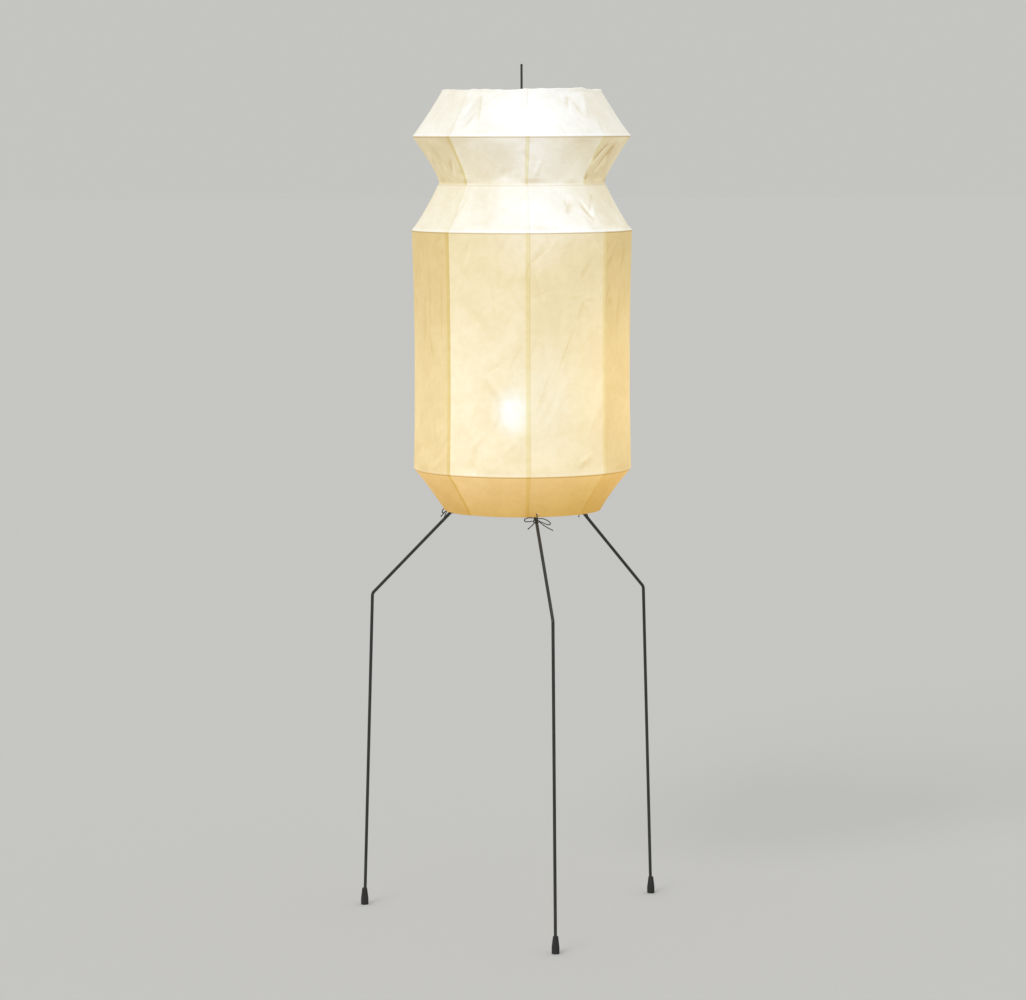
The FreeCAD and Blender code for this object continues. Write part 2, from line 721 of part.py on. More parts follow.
def make_bulb(lamp):
    """Glass, stem, filament and screw cap, which turn together, and the contact at the tip."""
    shoulder, neck = neck_meets_globe(s.globe_radius, s.neck_radius)
    inner_globe = s.globe_radius - s.glass_wall
    inner_neck = s.neck_radius - s.glass_wall
    inner_shoulder, inner_start = neck_meets_globe(inner_globe, inner_neck)
    lamp_piece(lamp, "bulb_glass", [
        (s.neck_radius, NECK_FOOT), neck, shoulder, (0, GLOBE_MIDDLE + s.globe_radius),
        (0, GLOBE_MIDDLE + inner_globe), inner_shoulder, inner_start, (inner_neck, NECK_FOOT)],
        arcs={2: (s.globe_radius, -1), 4: (inner_globe, 1)})
    stem_foot = NECK_FOOT + s.glass_wall
    stem_out = inner_neck - s.clear_gap
    stem_top = stem_foot + s.stem_height
    lamp_piece(lamp, "bulb_stem", [
        (0, stem_foot), (stem_out, stem_foot), (stem_out, stem_foot + s.glass_wall),
        (s.stem_radius, stem_foot + s.stem_flare), (s.stem_radius, stem_top), (0, stem_top)])
    make_filament(lamp, stem_top)
    lamp_piece(lamp, "bulb_insulator", [
        (0, INSULATOR_FOOT), (s.tip_contact_radius, INSULATOR_FOOT),
        (CAP_INNER - s.fit_gap, SCREW_CAP_FOOT), (CAP_INNER - s.fit_gap, INSULATOR_END),
        (0, INSULATOR_END)])
    lamp_piece(lamp, "bulb_cap", screw_cap_section())
    lamp_piece(lamp, "bulb_tip", [
        (0, BULB_FOOT), (s.tip_contact_face, BULB_FOOT),
        (s.tip_contact_radius, BULB_FOOT + s.tip_contact_height),
        (0, BULB_FOOT + s.tip_contact_height)])


def screw_cap_section():
    """The cap's wall, ridged outside by its thread and plain inside."""
    root_radius = s.screw_cap_radius - s.thread_depth
    corners = [(CAP_INNER, SCREW_CAP_FOOT), (root_radius, SCREW_CAP_FOOT),
               (root_radius, SCREW_CAP_FOOT + s.thread_pitch / 2)]
    for turn in range(THREAD_TURN_COUNT):
        crest = SCREW_CAP_FOOT + s.thread_pitch * (turn + 1)
        corners.append((s.screw_cap_radius, crest))
        corners.append((root_radius, crest + s.thread_pitch / 2))
    corners.append((root_radius, SCREW_CAP_TOP))
    corners.append((CAP_INNER, SCREW_CAP_TOP))
    return corners


def make_filament(lamp, stem_top):
    """Two leads that spread from the stem, and the coil between their ends."""
    foot = s.stem_radius / 2
    reach = s.filament_span / 2 - foot
    lean = angle_of_slope(reach / s.filament_rise)
    pieces = []
    for side in (-1, 1):
        lead = document.addObject("Part::Cylinder", "Lead")
        bind(lead, "Radius", s.filament_lead)
        bind(lead, "Height", s.filament_rise / cosine(lean))
        place(lead, foot * side, 0, stem_top, lean=lean * side)
        pieces.append(lead)
    coil = document.addObject("Part::Cylinder", "Coil")
    bind(coil, "Radius", s.filament_coil)
    bind(coil, "Height", s.filament_span)
    place(coil, -s.filament_span / 2, 0, stem_top + s.filament_rise, lean=QUARTER_TURN)
    pieces.append(coil)
    filament = document.addObject("Part::MultiFuse", "Filament")
    filament.Shapes = pieces
    stand_on_seat(keep(filament, lamp + "_bulb_filament"), lamp)


# ---------------------------------------------------------------------------------------------
# Shade: hoops, spider and strips of paper
# ---------------------------------------------------------------------------------------------

TOP = (s.top_radius, s.top_height)
UPPER = (s.upper_radius, TOP[1] - s.top_band)
WAIST = (s.waist_radius, UPPER[1] - s.neck_band)
SHOULDER = (s.shoulder_radius, WAIST[1] - s.shoulder_band)
BOTTOM = (s.bottom_radius, s.bottom_height)
LOWER = (s.lower_radius, BOTTOM[1] + s.bottom_band)
FOLDS = [BOTTOM, LOWER, SHOULDER, WAIST, UPPER, TOP]
DRAWS = [s.band_draw, s.wall_draw, s.band_draw, s.band_draw, s.band_draw]
GORE_PITCH = FULL_TURN / GORE_COUNT
GORE_ANGLE = s.lap_angle + GORE_PITCH
LAYER = s.paper_wall + s.glue_gap
LAP_DEPTH = LAYER * 2


def chord(lower, upper):
    """The straight distance between two folds."""
    across = upper[0] - lower[0]
    up = upper[1] - lower[1]
    return root(across * across + up * up)


def band_radius(lower, upper, draw_in):
    """The radius of the arc that a band of paper follows when it is drawn in by so much."""
    half = chord(lower, upper) / 2
    return (half * half + draw_in * draw_in) / (draw_in * 2)


def slope_at_fold(wide, narrow, sign):
    """The angle from level at which a sloping band meets its wide (-1) or its narrow (1) end."""
    up = wide[1] - narrow[1] if wide[1].number > narrow[1].number else narrow[1] - wide[1]
    straight = angle_of_slope(up / (wide[0] - narrow[0]))
    return straight + angle_of_slope(s.band_draw * 2 / chord(wide, narrow)) * 2 * sign


def hoop_in_fold(wide, narrow):
    """The radius of the wire's middle, nested inside a fold that points outwards."""
    return wide[0] - LAP_DEPTH - s.hoop_wire / sine(slope_at_fold(wide, narrow, -1))


def hoop_in_rim(wide, narrow):
    """The same inside a rim, where the wire's middle is one wire radius from the paper's edge."""
    slope = slope_at_fold(wide, narrow, 1)
    return narrow[0] + s.hoop_wire / tangent(slope) - LAP_DEPTH - s.hoop_wire / sine(slope)


TOP_HOOP = (hoop_in_rim(UPPER, TOP), s.top_height - s.hoop_wire)
BOTTOM_HOOP = (hoop_in_rim(LOWER, BOTTOM), s.bottom_height + s.hoop_wire)
HOOPS = {
    "top_hoop": TOP_HOOP,
    "upper_hoop": (hoop_in_fold(UPPER, WAIST), UPPER[1]),
    "waist_hoop": (s.waist_radius - LAP_DEPTH - s.hoop_wire, WAIST[1]),
    "shoulder_hoop": (hoop_in_fold(SHOULDER, WAIST), SHOULDER[1]),
    "lower_hoop": (hoop_in_fold(LOWER, BOTTOM), LOWER[1]),
    "bottom_hoop": BOTTOM_HOOP,
}
COLLAR_BOTTOM = TOP_HOOP[1] - s.eye_length / 2 - s.fit_gap - s.collar_length


def make_hoops():
    for name, (radius, height) in HOOPS.items():
        hoop = document.addObject("Part::Torus", name + "_ring")
        bind(hoop, "Radius1", radius)
        bind(hoop, "Radius2", s.hoop_wire)
        place(hoop, z=height)
        keep(hoop, name)


def make_spider():
    """Three wires from the top hoop to an eye that slides on the rod."""
    body = new_body("top_spider")
    half_eye = s.eye_length / 2
    arm = revolve(body, tube_section(0, s.spider_wire, 0, TOP_HOOP[0]), lean=-QUARTER_TURN)
    ring_pattern(body, [arm], len(LEG_NAMES))
    revolve(body, tube_section(0, s.eye_radius, -half_eye, half_eye))
    bore = s.rod_radius + s.eye_gap
    revolve(body, tube_section(0, bore, -half_eye - PAST, half_eye + PAST), cut=True)
    place(body, z=TOP_HOOP[1], turn=turn_of(s.spider_azimuth))
    keep(body, "top_spider")


def paper_section(outer, inner):
    """The section of a layer of paper, from outer to inner behind the shade's outside."""
    going_up = [(radius - outer, height) for radius, height in FOLDS]
    going_down = [(radius - inner, height) for radius, height in reversed(FOLDS)]
    arcs = {}
    band_count = len(DRAWS)
    for band, draw_in in enumerate(DRAWS):
        radius = band_radius(FOLDS[band], FOLDS[band + 1], draw_in)
        arcs[band] = (radius, 1)
        arcs[2 * band_count - band] = (radius, -1)
    return going_up + going_down, arcs


def make_gore(index):
    """One strip of paper from rim to rim.

    Its own axis is moved a little sideways, so that it starts under its neighbour and ends over
    the next strip, with the glue between.
    """
    name = f"paper_gore_{index + 1}"
    body = new_body(name)
    corners, arcs = paper_section(LAYER / 2, LAYER / 2 + s.paper_wall)
    revolve(body, corners, arcs, angle=GORE_ANGLE)
    turn = turn_of(s.seam_azimuth + GORE_PITCH * index)
    middle = turn + GORE_ANGLE / 2
    shift = LAYER / 2 / sine(GORE_ANGLE / 2)
    place(body, -shift * sine(middle), shift * cosine(middle), turn=turn)
    tied = [leg for leg in range(len(LEG_NAMES)) if gore_at(leg_azimuth(leg)) == index]
    keep(pierced(body, tied[0]) if tied else body, name)


def gore_at(azimuth):
    """Which strip of paper covers an azimuth."""
    return int((azimuth - s.seam_azimuth).number // GORE_PITCH)


def pierced(gore, leg):
    """The strip with a hole above its bottom hoop, where a tie goes through the paper."""
    hole = document.addObject("Part::Cylinder", "Hole")
    bind(hole, "Radius", s.tie_hole)
    bind(hole, "Height", s.bottom_radius / 2)
    azimuth = leg_azimuth(leg)
    x, y = outwards(azimuth, s.bottom_radius / 2 + BOTTOM_HOOP[0] / 2)
    place(hole, x, y, BOTTOM_HOOP[1] + s.tie_hole_rise, turn=turn_of(azimuth), lean=QUARTER_TURN)
    with_hole = document.addObject("Part::Cut", "Pierced")
    with_hole.Base = gore
    with_hole.Tool = hole
    return with_hole


# ---------------------------------------------------------------------------------------------
# Ties: a cord round the bottom hoop and the leg, ending in a bow
# ---------------------------------------------------------------------------------------------

# Points on the cord, from the middle of the hoop's wire above the leg: outwards, along the hoop, up
KNOT = (5.0, 0.5, -7.0)
KNOT_TOP = (5.0, 0.5, -5.2)  # where a turn or a loop of the cord leaves the knot
KNOT_FOOT = (5.0, 0.5, -8.8)  # where it comes back
WRAP = [KNOT_TOP, (6.4, 0.6, 4.4), (-3.9, -0.9, 4.4), (-2.8, -6.6, -12.2), (-6.1, -4.7, -15.5),
        (-7.5, 0.0, -16.9), (-6.1, 4.7, -15.5), (-2.8, 6.6, -12.2), (2.6, 4.2, -9.6), KNOT_FOOT]
BOWS = {
    "front": [
        [KNOT_TOP, (6.5, -9.0, -3.0), (7.5, -20.0, -2.5), (8.0, -29.5, -6.0), (8.0, -27.0, -11.5),
         (7.5, -14.0, -11.0), KNOT_FOOT],
        [KNOT_TOP, (6.5, 10.0, -4.5), (7.5, 21.0, -8.0), (8.0, 30.5, -15.5), (8.0, 26.0, -20.0),
         (7.5, 12.0, -14.0), KNOT_FOOT],
        [KNOT, (8.0, -7.0, -15.0), (9.0, -14.0, -22.0), (9.5, -21.0, -27.0)],
        [KNOT, (8.0, 10.0, -17.0), (9.5, 22.0, -25.0), (10.0, 34.0, -31.0)],
    ],
    "right": [
        [KNOT_TOP, (6.5, -9.0, -3.0), (7.5, -20.0, -4.0), (8.0, -28.0, -9.0), (8.0, -24.0, -14.0),
         (7.5, -13.0, -12.0), KNOT_FOOT],
        [KNOT_TOP, (6.5, 10.0, -3.5), (7.5, 20.0, -5.0), (8.0, 28.0, -11.0), (8.0, 24.0, -15.5),
         (7.5, 12.0, -12.5), KNOT_FOOT],
        [KNOT, (8.0, -6.0, -15.0), (9.0, -11.0, -24.0), (9.5, -15.0, -33.0)],
        [KNOT, (8.0, 8.0, -16.0), (9.0, 14.0, -25.0), (9.5, 18.0, -34.0)],
    ],
    "left": [
        [KNOT_TOP, (8.0, -8.0, -4.0), (10.0, -17.0, -4.5), (12.0, -25.0, -9.5), (11.5, -21.0, -14.0),
         (9.0, -11.0, -11.5), KNOT_FOOT],
        [KNOT_TOP, (8.0, 9.0, -4.0), (10.0, 18.0, -5.5), (11.0, 26.0, -11.5), (10.5, 22.0, -16.0),
         (8.5, 11.0, -12.5), KNOT_FOOT],
        [KNOT, (12.0, -4.0, -12.0), (19.0, -6.0, -18.5), (26.0, -7.0, -26.0)],
        [KNOT, (8.5, 9.0, -17.0), (10.0, 15.0, -26.0), (10.5, 19.0, -35.0)],
    ],
}
SHARE_OF_RUN = 0.45  # how much of the shorter run beside a point its arc may take


def round_corner(before, corner, after):
    """The radius, start, middle and end of the widest arc that the two runs at a point allow."""
    back = before - corner
    on = after - corner
    reach = SHARE_OF_RUN * min(back.Length, on.Length)
    back.normalize()
    on.normalize()
    half_turn = (math.pi - back.getAngle(on)) / 2
    radius = reach / math.tan(half_turn)
    inwards = (back + on).normalize()
    middle = corner + inwards * (radius / math.cos(half_turn) - radius)
    return radius, corner + back * reach, middle, corner + on * reach


def smooth_path(points):
    """Straight runs joined by tangent arcs, as one wire, and the smallest radius of its arcs."""
    points = [V(*point) for point in points]
    edges = []
    radii = []
    here = points[0]
    for before, corner, after in zip(points, points[1:], points[2:]):
        radius, arc_start, middle, arc_end = round_corner(before, corner, after)
        radii.append(radius)
        edges.append(Part.makeLine(here, arc_start))
        edges.append(Part.Arc(arc_start, middle, arc_end).toShape())
        here = arc_end
    edges.append(Part.makeLine(here, points[-1]))
    return Part.Wire(edges), min(radii)


def cord_along(points, radius):
    """A cord, its length and its tightest radius."""
    path, tightest = smooth_path(points)
    first = path.OrderedEdges[0]
    start = first.valueAt(first.FirstParameter)
    section = Part.Wire(Part.makeCircle(radius, start, first.tangentAt(first.FirstParameter)))
    return path.makePipeShell([section], True, False), path.Length, tightest


def make_tie(index):
    """A turn of cord round hoop and leg, a knot in front of it, two loops and two ends."""
    leg = LEG_NAMES[index]
    radius = s.cord_radius.number
    tie = Part.makeSphere(s.knot_radius.number, V(*KNOT))
    lengths = []
    bends = []
    for points in [WRAP] + BOWS[leg]:
        cord, length, tightest = cord_along(points, radius)
        tie = tie.fuse(cord)
        lengths.append(length)
        bends.append(tightest)
    print(f"tie_{leg}: {sum(lengths):.0f} mm of cord, bent no tighter than {min(bends):.1f} mm")
    piece = document.addObject("Part::Feature", "Tie")
    piece.Shape = tie.removeSplitter()
    azimuth = leg_azimuth(index)
    x, y = outwards(azimuth, BOTTOM_HOOP[0])
    place(piece, x, y, BOTTOM_HOOP[1], turn=turn_of(azimuth))
    keep(piece, "tie_" + leg)


# ---------------------------------------------------------------------------------------------
# Build, check and write
# ---------------------------------------------------------------------------------------------

make_hub()
make_rod()
make_collar()
make_grub_screws()
for leg_index in range(len(LEG_NAMES)):
    make_leg(leg_index)
    make_foot(leg_index)
    make_leg_screw(leg_index)
    make_tie(leg_index)
for lamp_name in LAMP_NAMES:
    make_bracket(lamp_name)
    make_cord_grip(lamp_name)
    make_holder(lamp_name)
    make_bulb(lamp_name)
make_nipples_and_nuts()
make_hoops()
make_spider()
for gore_index in range(GORE_COUNT):
    make_gore(gore_index)

document.recompute()
failed = [item.Label for item in document.Objects if {"Invalid", "Error"} & set(item.State)]
if failed:
    raise RuntimeError("not built: " + ", ".join(failed))
for node in nodes:
    if node.Shape.isNull() or not node.Shape.isValid() or not node.Shape.Solids:
        raise RuntimeError("no sound shape: " + node.Label)

os.makedirs("parts", exist_ok=True)
for node in nodes:
    node.Shape.exportStep(os.path.join("parts", node.Label + ".step"))
    print(f"{node.Label}: {len(node.Shape.Solids)} solid(s), {node.Shape.Volume:.0f} cubic mm")
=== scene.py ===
# %% [markdown]
# # A paper lantern floor lamp
#
# A tall paper shade hangs on a thin rod above three wire legs. Two bulbs light it from inside.
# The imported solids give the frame, the lamp holders, the bulbs and the hoops at their real size
# and place. This lesson adds what they can't show: thin crumpled paper with light coming through
# it, twisted black cord, and the finish of every metal, plastic and glass surface.

# %% Load the frame
import math
import random

import bmesh
import bpy
import numpy as np
from mathutils import Matrix, Vector


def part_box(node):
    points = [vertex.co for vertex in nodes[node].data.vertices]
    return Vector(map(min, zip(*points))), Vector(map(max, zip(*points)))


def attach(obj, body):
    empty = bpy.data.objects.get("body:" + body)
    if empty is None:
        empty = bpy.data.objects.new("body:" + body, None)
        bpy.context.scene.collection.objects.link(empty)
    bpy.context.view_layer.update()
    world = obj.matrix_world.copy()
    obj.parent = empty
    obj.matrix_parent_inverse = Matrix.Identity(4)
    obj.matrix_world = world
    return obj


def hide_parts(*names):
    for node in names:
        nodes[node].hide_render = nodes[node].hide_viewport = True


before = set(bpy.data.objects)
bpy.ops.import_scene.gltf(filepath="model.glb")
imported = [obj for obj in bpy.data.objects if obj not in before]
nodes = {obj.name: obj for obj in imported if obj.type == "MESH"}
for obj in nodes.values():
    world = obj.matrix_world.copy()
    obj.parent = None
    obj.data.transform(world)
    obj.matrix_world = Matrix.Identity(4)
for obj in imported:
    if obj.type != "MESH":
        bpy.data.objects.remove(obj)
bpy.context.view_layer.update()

MM = 0.001


# %% [markdown]
# ## The camera
#
# The photo was taken from about eight metres away with a long lens, from a little below the top of
# the shade and looking slightly down. A camera's matrix holds its right, up and backward
# directions, so it is built from those three instead of from angles that are hard to check.

# %% Camera
PHOTO_WIDTH = 1026
SENSOR = 36.0
FOCAL_PIXELS = 3691.0
CAMERA_PLACE = Vector((0.0, -8.128, 1.765))
PITCH = math.radians(5.82)
YAW = math.radians(-0.15)
ROLL = math.radians(-0.16)

forward = Vector((math.sin(YAW) * math.cos(PITCH), math.cos(YAW) * math.cos(PITCH), -math.sin(PITCH)))
level_right = Vector((math.cos(YAW), -math.sin(YAW), 0.0))
level_up = level_right.cross(forward)
right = level_right * math.cos(ROLL) + level_up * math.sin(ROLL)
up = level_up * math.cos(ROLL) - level_right * math.sin(ROLL)
bpy.ops.object.camera_add(location=CAMERA_PLACE)
camera = bpy.context.object
camera.name = "photo_camera"
directions = Matrix((right, up, -forward)).transposed().to_4x4()
camera.matrix_world = Matrix.Translation(CAMERA_PLACE) @ directions
camera.data.sensor_width = SENSOR
camera.data.lens = FOCAL_PIXELS / PHOTO_WIDTH * SENSOR
camera.data.clip_end = 100.0
bpy.context.scene.camera = camera
print("lens", round(camera.data.lens, 1), "mm")


# %% [markdown]
# ## Helpers for modelling
#
# Operators act on whatever is selected, and every imported node starts out selected. So each
# piece begins with an empty selection, and inside edit mode its points are chosen by a test on
# their place.

# %% Modelling helpers
def clear_selection():
    if bpy.context.object and bpy.context.object.mode != "OBJECT":
        bpy.ops.object.mode_set(mode="OBJECT")
    bpy.ops.object.select_all(action="DESELECT")


def make_active(piece):
    clear_selection()
    piece.select_set(True)
    bpy.context.view_layer.objects.active = piece


def select_points(piece, test):
    """In edit mode, selects the points whose place passes the test, and the edges between them."""
    mesh = bmesh.from_edit_mesh(piece.data)
    bpy.ops.mesh.select_all(action="DESELECT")
    bpy.ops.mesh.select_mode(type="VERT")
    for point in mesh.verts:
        point.select = test(point.co)
    mesh.select_flush(True)
    bmesh.update_edit_mesh(piece.data)


def read_places(piece):
    """The places of a mesh's points, one row of x, y and z for each."""
    places = np.empty(len(piece.data.vertices) * 3)
    piece.data.vertices.foreach_get("co", places)
    return places.reshape(-1, 3)


def read_normals(piece):
    """The normals at a mesh's points, as rows of x, y and z."""
    normals = np.empty(len(piece.data.vertices) * 3)
    piece.data.vertices.foreach_get("normal", normals)
    return normals.reshape(-1, 3)


def write_places(piece, places):
    piece.data.vertices.foreach_set("co", places.ravel())
    piece.data.update()


def name_and_ride(piece, name, body):
    piece.name = name
    piece.data.name = name
    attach(piece, body)
    return piece


# %% [markdown]
# ## Where the paper folds
#
# The shade is a stack of five bands between six wire hoops. The paper bends sharply round each
# hoop and is drawn in a little between them, because it shrank as its glue dried. The hoops are
# in the frame, so every fold takes its height and radius from its own hoop. At both rims the
# paper goes on round the wire, in a narrow hem that hides it.

# %% Folds, bands and hems
PAPER_OVER_WIRE = {
    "bottom_hoop": 0.9 * MM, "lower_hoop": 1.6 * MM, "shoulder_hoop": 1.5 * MM,
    "waist_hoop": 1.1 * MM, "upper_hoop": 1.4 * MM, "top_hoop": 0.9 * MM,
}
# From the lowest band up: how far it is drawn in, and at what share of its height the most
BAND_DRAW = [(2.5 * MM, 0.5), (4.0 * MM, 0.5), (4.0 * MM, 0.4), (6.5 * MM, 0.3), (2.5 * MM, 0.4)]
WIRE = 1.5 * MM  # radius of the hoops' wire


def wire_of(hoop):
    """The radius and the height of the middle of a hoop's wire."""
    low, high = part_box(hoop)
    return high.x - WIRE, (low.z + high.z) / 2


folds = []
for hoop, over in PAPER_OVER_WIRE.items():
    radius, height = wire_of(hoop)
    folds.append((radius + WIRE + over, height))
top_wire, top_wire_height = wire_of("top_hoop")
bottom_wire, bottom_wire_height = wire_of("bottom_hoop")
HEM = WIRE + PAPER_OVER_WIRE["top_hoop"]


def hem_point(wire_radius, wire_height, angle):
    """A point of the hem, which turns round a rim's wire. The angle starts straight outwards."""
    turn = math.radians(angle)
    return wire_radius + HEM * math.cos(turn), wire_height + HEM * math.sin(turn)


HEM_ANGLES = (30, 60, 90, 120, 150, 200)
bottom_hem = [hem_point(bottom_wire, bottom_wire_height, -angle) for angle in reversed(HEM_ANGLES)]
top_hem = [hem_point(top_wire, top_wire_height, angle) for angle in HEM_ANGLES]
profile = bottom_hem + folds + top_hem
for radius, height in folds:
    print(f"fold of radius {radius / MM:.1f} mm at {height / MM:.1f} mm")


# %% [markdown]
# ## One blank strip of paper
#
# The skin is glued together from eight upright strips, each lapped over the next one's edge. All
# are cut alike, so one blank strip is modelled and copied. It starts as a single point in the
# lower hem, which is extruded from corner to corner of the profile, subdivided, drawn in between
# the folds, and then spun about the lamp's axis. A spun sheet can come out with some rows of faces
# turned round, which would give the paper a ledge at each fold, so its normals are made to agree
# before it gets a thickness.

# %% Blank strip
STRIP_COUNT = 8
STRIP_PITCH = 360.0 / STRIP_COUNT
LAP = 2.2  # degrees that a strip goes on over its neighbour
STRIP_ANGLE = STRIP_PITCH + LAP
GRID = 2.8 * MM  # distance between points on the paper
MOST_CUTS = 100  # what one subdivide can make, so on the tall wall the points are 5 mm apart in height
FOLD_ROUNDING = 1.6 * MM
TINY = 0.01 * MM
LEVEL = Vector((1.0, 1.0, 0.0))  # times a place: the same place with its height left out


def band_at(height):
    """Which band of paper holds a height, and the share of the band below that height."""
    for band in range(len(BAND_DRAW)):
        low, high = folds[band][1], folds[band + 1][1]
        if low <= height <= high:
            return band, (height - low) / (high - low)
    return None, 0.0


def drawn_in(height):
    """How far the paper stands inside the straight line between two folds."""
    band, share = band_at(height)
    if band is None:
        return 0.0
    depth, deepest = BAND_DRAW[band]
    eased = share ** (math.log(0.5) / math.log(deepest))
    return 4.0 * depth * eased * (1.0 - eased)


def extrude_profile():
    """A chain of points along the profile of the paper, as an object in edit mode."""
    clear_selection()
    radius, height = profile[0]
    bpy.ops.mesh.primitive_plane_add(size=GRID, location=(radius, 0.0, height))
    chain = bpy.context.object
    bpy.ops.object.transform_apply(location=True, rotation=True, scale=True)
    bpy.ops.object.mode_set(mode="EDIT")
    bpy.ops.mesh.select_all(action="SELECT")
    bpy.ops.mesh.merge(type="CENTER")
    for (radius, height), (next_radius, next_height) in zip(profile, profile[1:]):
        step = (next_radius - radius, 0.0, next_height - height)
        bpy.ops.mesh.extrude_region_move(TRANSFORM_OT_translate={"value": step})
    return chain


def divide_bands(chain):
    for (radius, height), (next_radius, next_height) in zip(folds, folds[1:]):
        length = math.hypot(next_radius - radius, next_height - height)
        select_points(chain, lambda place: height - TINY < place.z < next_height + TINY)
        bpy.ops.mesh.subdivide(number_cuts=min(round(length / GRID) - 1, MOST_CUTS))


def draw_in_bands(chain):
    bpy.ops.object.mode_set(mode="OBJECT")
    for point in chain.data.vertices:
        if point.co.x > bottom_wire:
            point.co.x -= drawn_in(point.co.z)
    bpy.ops.object.mode_set(mode="EDIT")


def round_folds(chain):
    for radius, height in folds[1:-1]:
        select_points(chain, lambda place: abs(place.z - height) < TINY)
        bpy.ops.mesh.bevel(offset=FOLD_ROUNDING, segments=3, affect="VERTICES")


def spin_strip(chain):
    bpy.ops.mesh.select_all(action="SELECT")
    across = round(math.radians(STRIP_ANGLE) * max(radius for radius, height in folds) / GRID)
    bpy.ops.mesh.spin(steps=across, angle=-math.radians(STRIP_ANGLE), center=(0, 0, 0), axis=(0, 0, 1))
    bpy.ops.mesh.select_all(action="SELECT")
    bpy.ops.mesh.remove_doubles(threshold=TINY)
    bpy.ops.mesh.normals_make_consistent(inside=False)
    bpy.ops.object.mode_set(mode="OBJECT")
    if sum(face.normal.dot(face.center * LEVEL) for face in chain.data.polygons) < 0.0:
        chain.data.flip_normals()


blank = extrude_profile()
divide_bands(blank)
draw_in_bands(blank)
round_folds(blank)
spin_strip(blank)
blank_places = read_places(blank)
blank_normals = read_normals(blank)
blank_across = np.degrees(np.arctan2(blank_places[:, 1], blank_places[:, 0]))
print(len(blank.data.vertices), "points,", len(blank.data.polygons), "faces, from",
      round(blank_across.min(), 2), "to", round(blank_across.max(), 2), "degrees")


# %% [markdown]
# ## How the paper crumples
#
# Paper of this kind is never quite smooth. It is stiff at a seam, where two layers are glued, and
# sinks a little between seams. It was folded flat and opened again, which leaves straight creases
# that meet in flat facets. The creases are drawn as shallow valleys with a sharp bottom, some at
# the places where the photo shows them and many more strewn by a seeded random generator. None
# reaches a hoop, because there the wire holds the paper.

# %% Creases
FIRST_SEAM = 2.0  # azimuth in degrees, from the front towards the right
HELD_BY_WIRE = 16.0 * MM  # how far from a hoop the wire still keeps creases out
SLOPE_REACH = 55.0 * MM  # how far from a hoop the paper has sunk to its full depth
SINK = 2.4 * MM  # how much more the paper is drawn in halfway between two seams
SWELL = 0.45 * MM  # height of the wide, soft waves
CREASE_SHADE_HALF_WIDTH = 3.2  # half the width in mm of the painted shade along a crease
RIM_RUFFLE = 1.3 * MM
# Azimuth, half width in degrees and height in mm of the places where the top rim stands up
RIM_BUMPS = [(30.0, 34.0, 3.4), (47.0, 7.0, 2.4), (-30.0, 16.0, 1.6), (-70.0, 20.0, 2.2), (110.0, 26.0, 2.8),
             (160.0, 12.0, 2.0), (-150.0, 22.0, 2.6), (-112.0, 9.0, 2.2)]
PAPER = 0.3 * MM
GLUE = 0.15 * MM

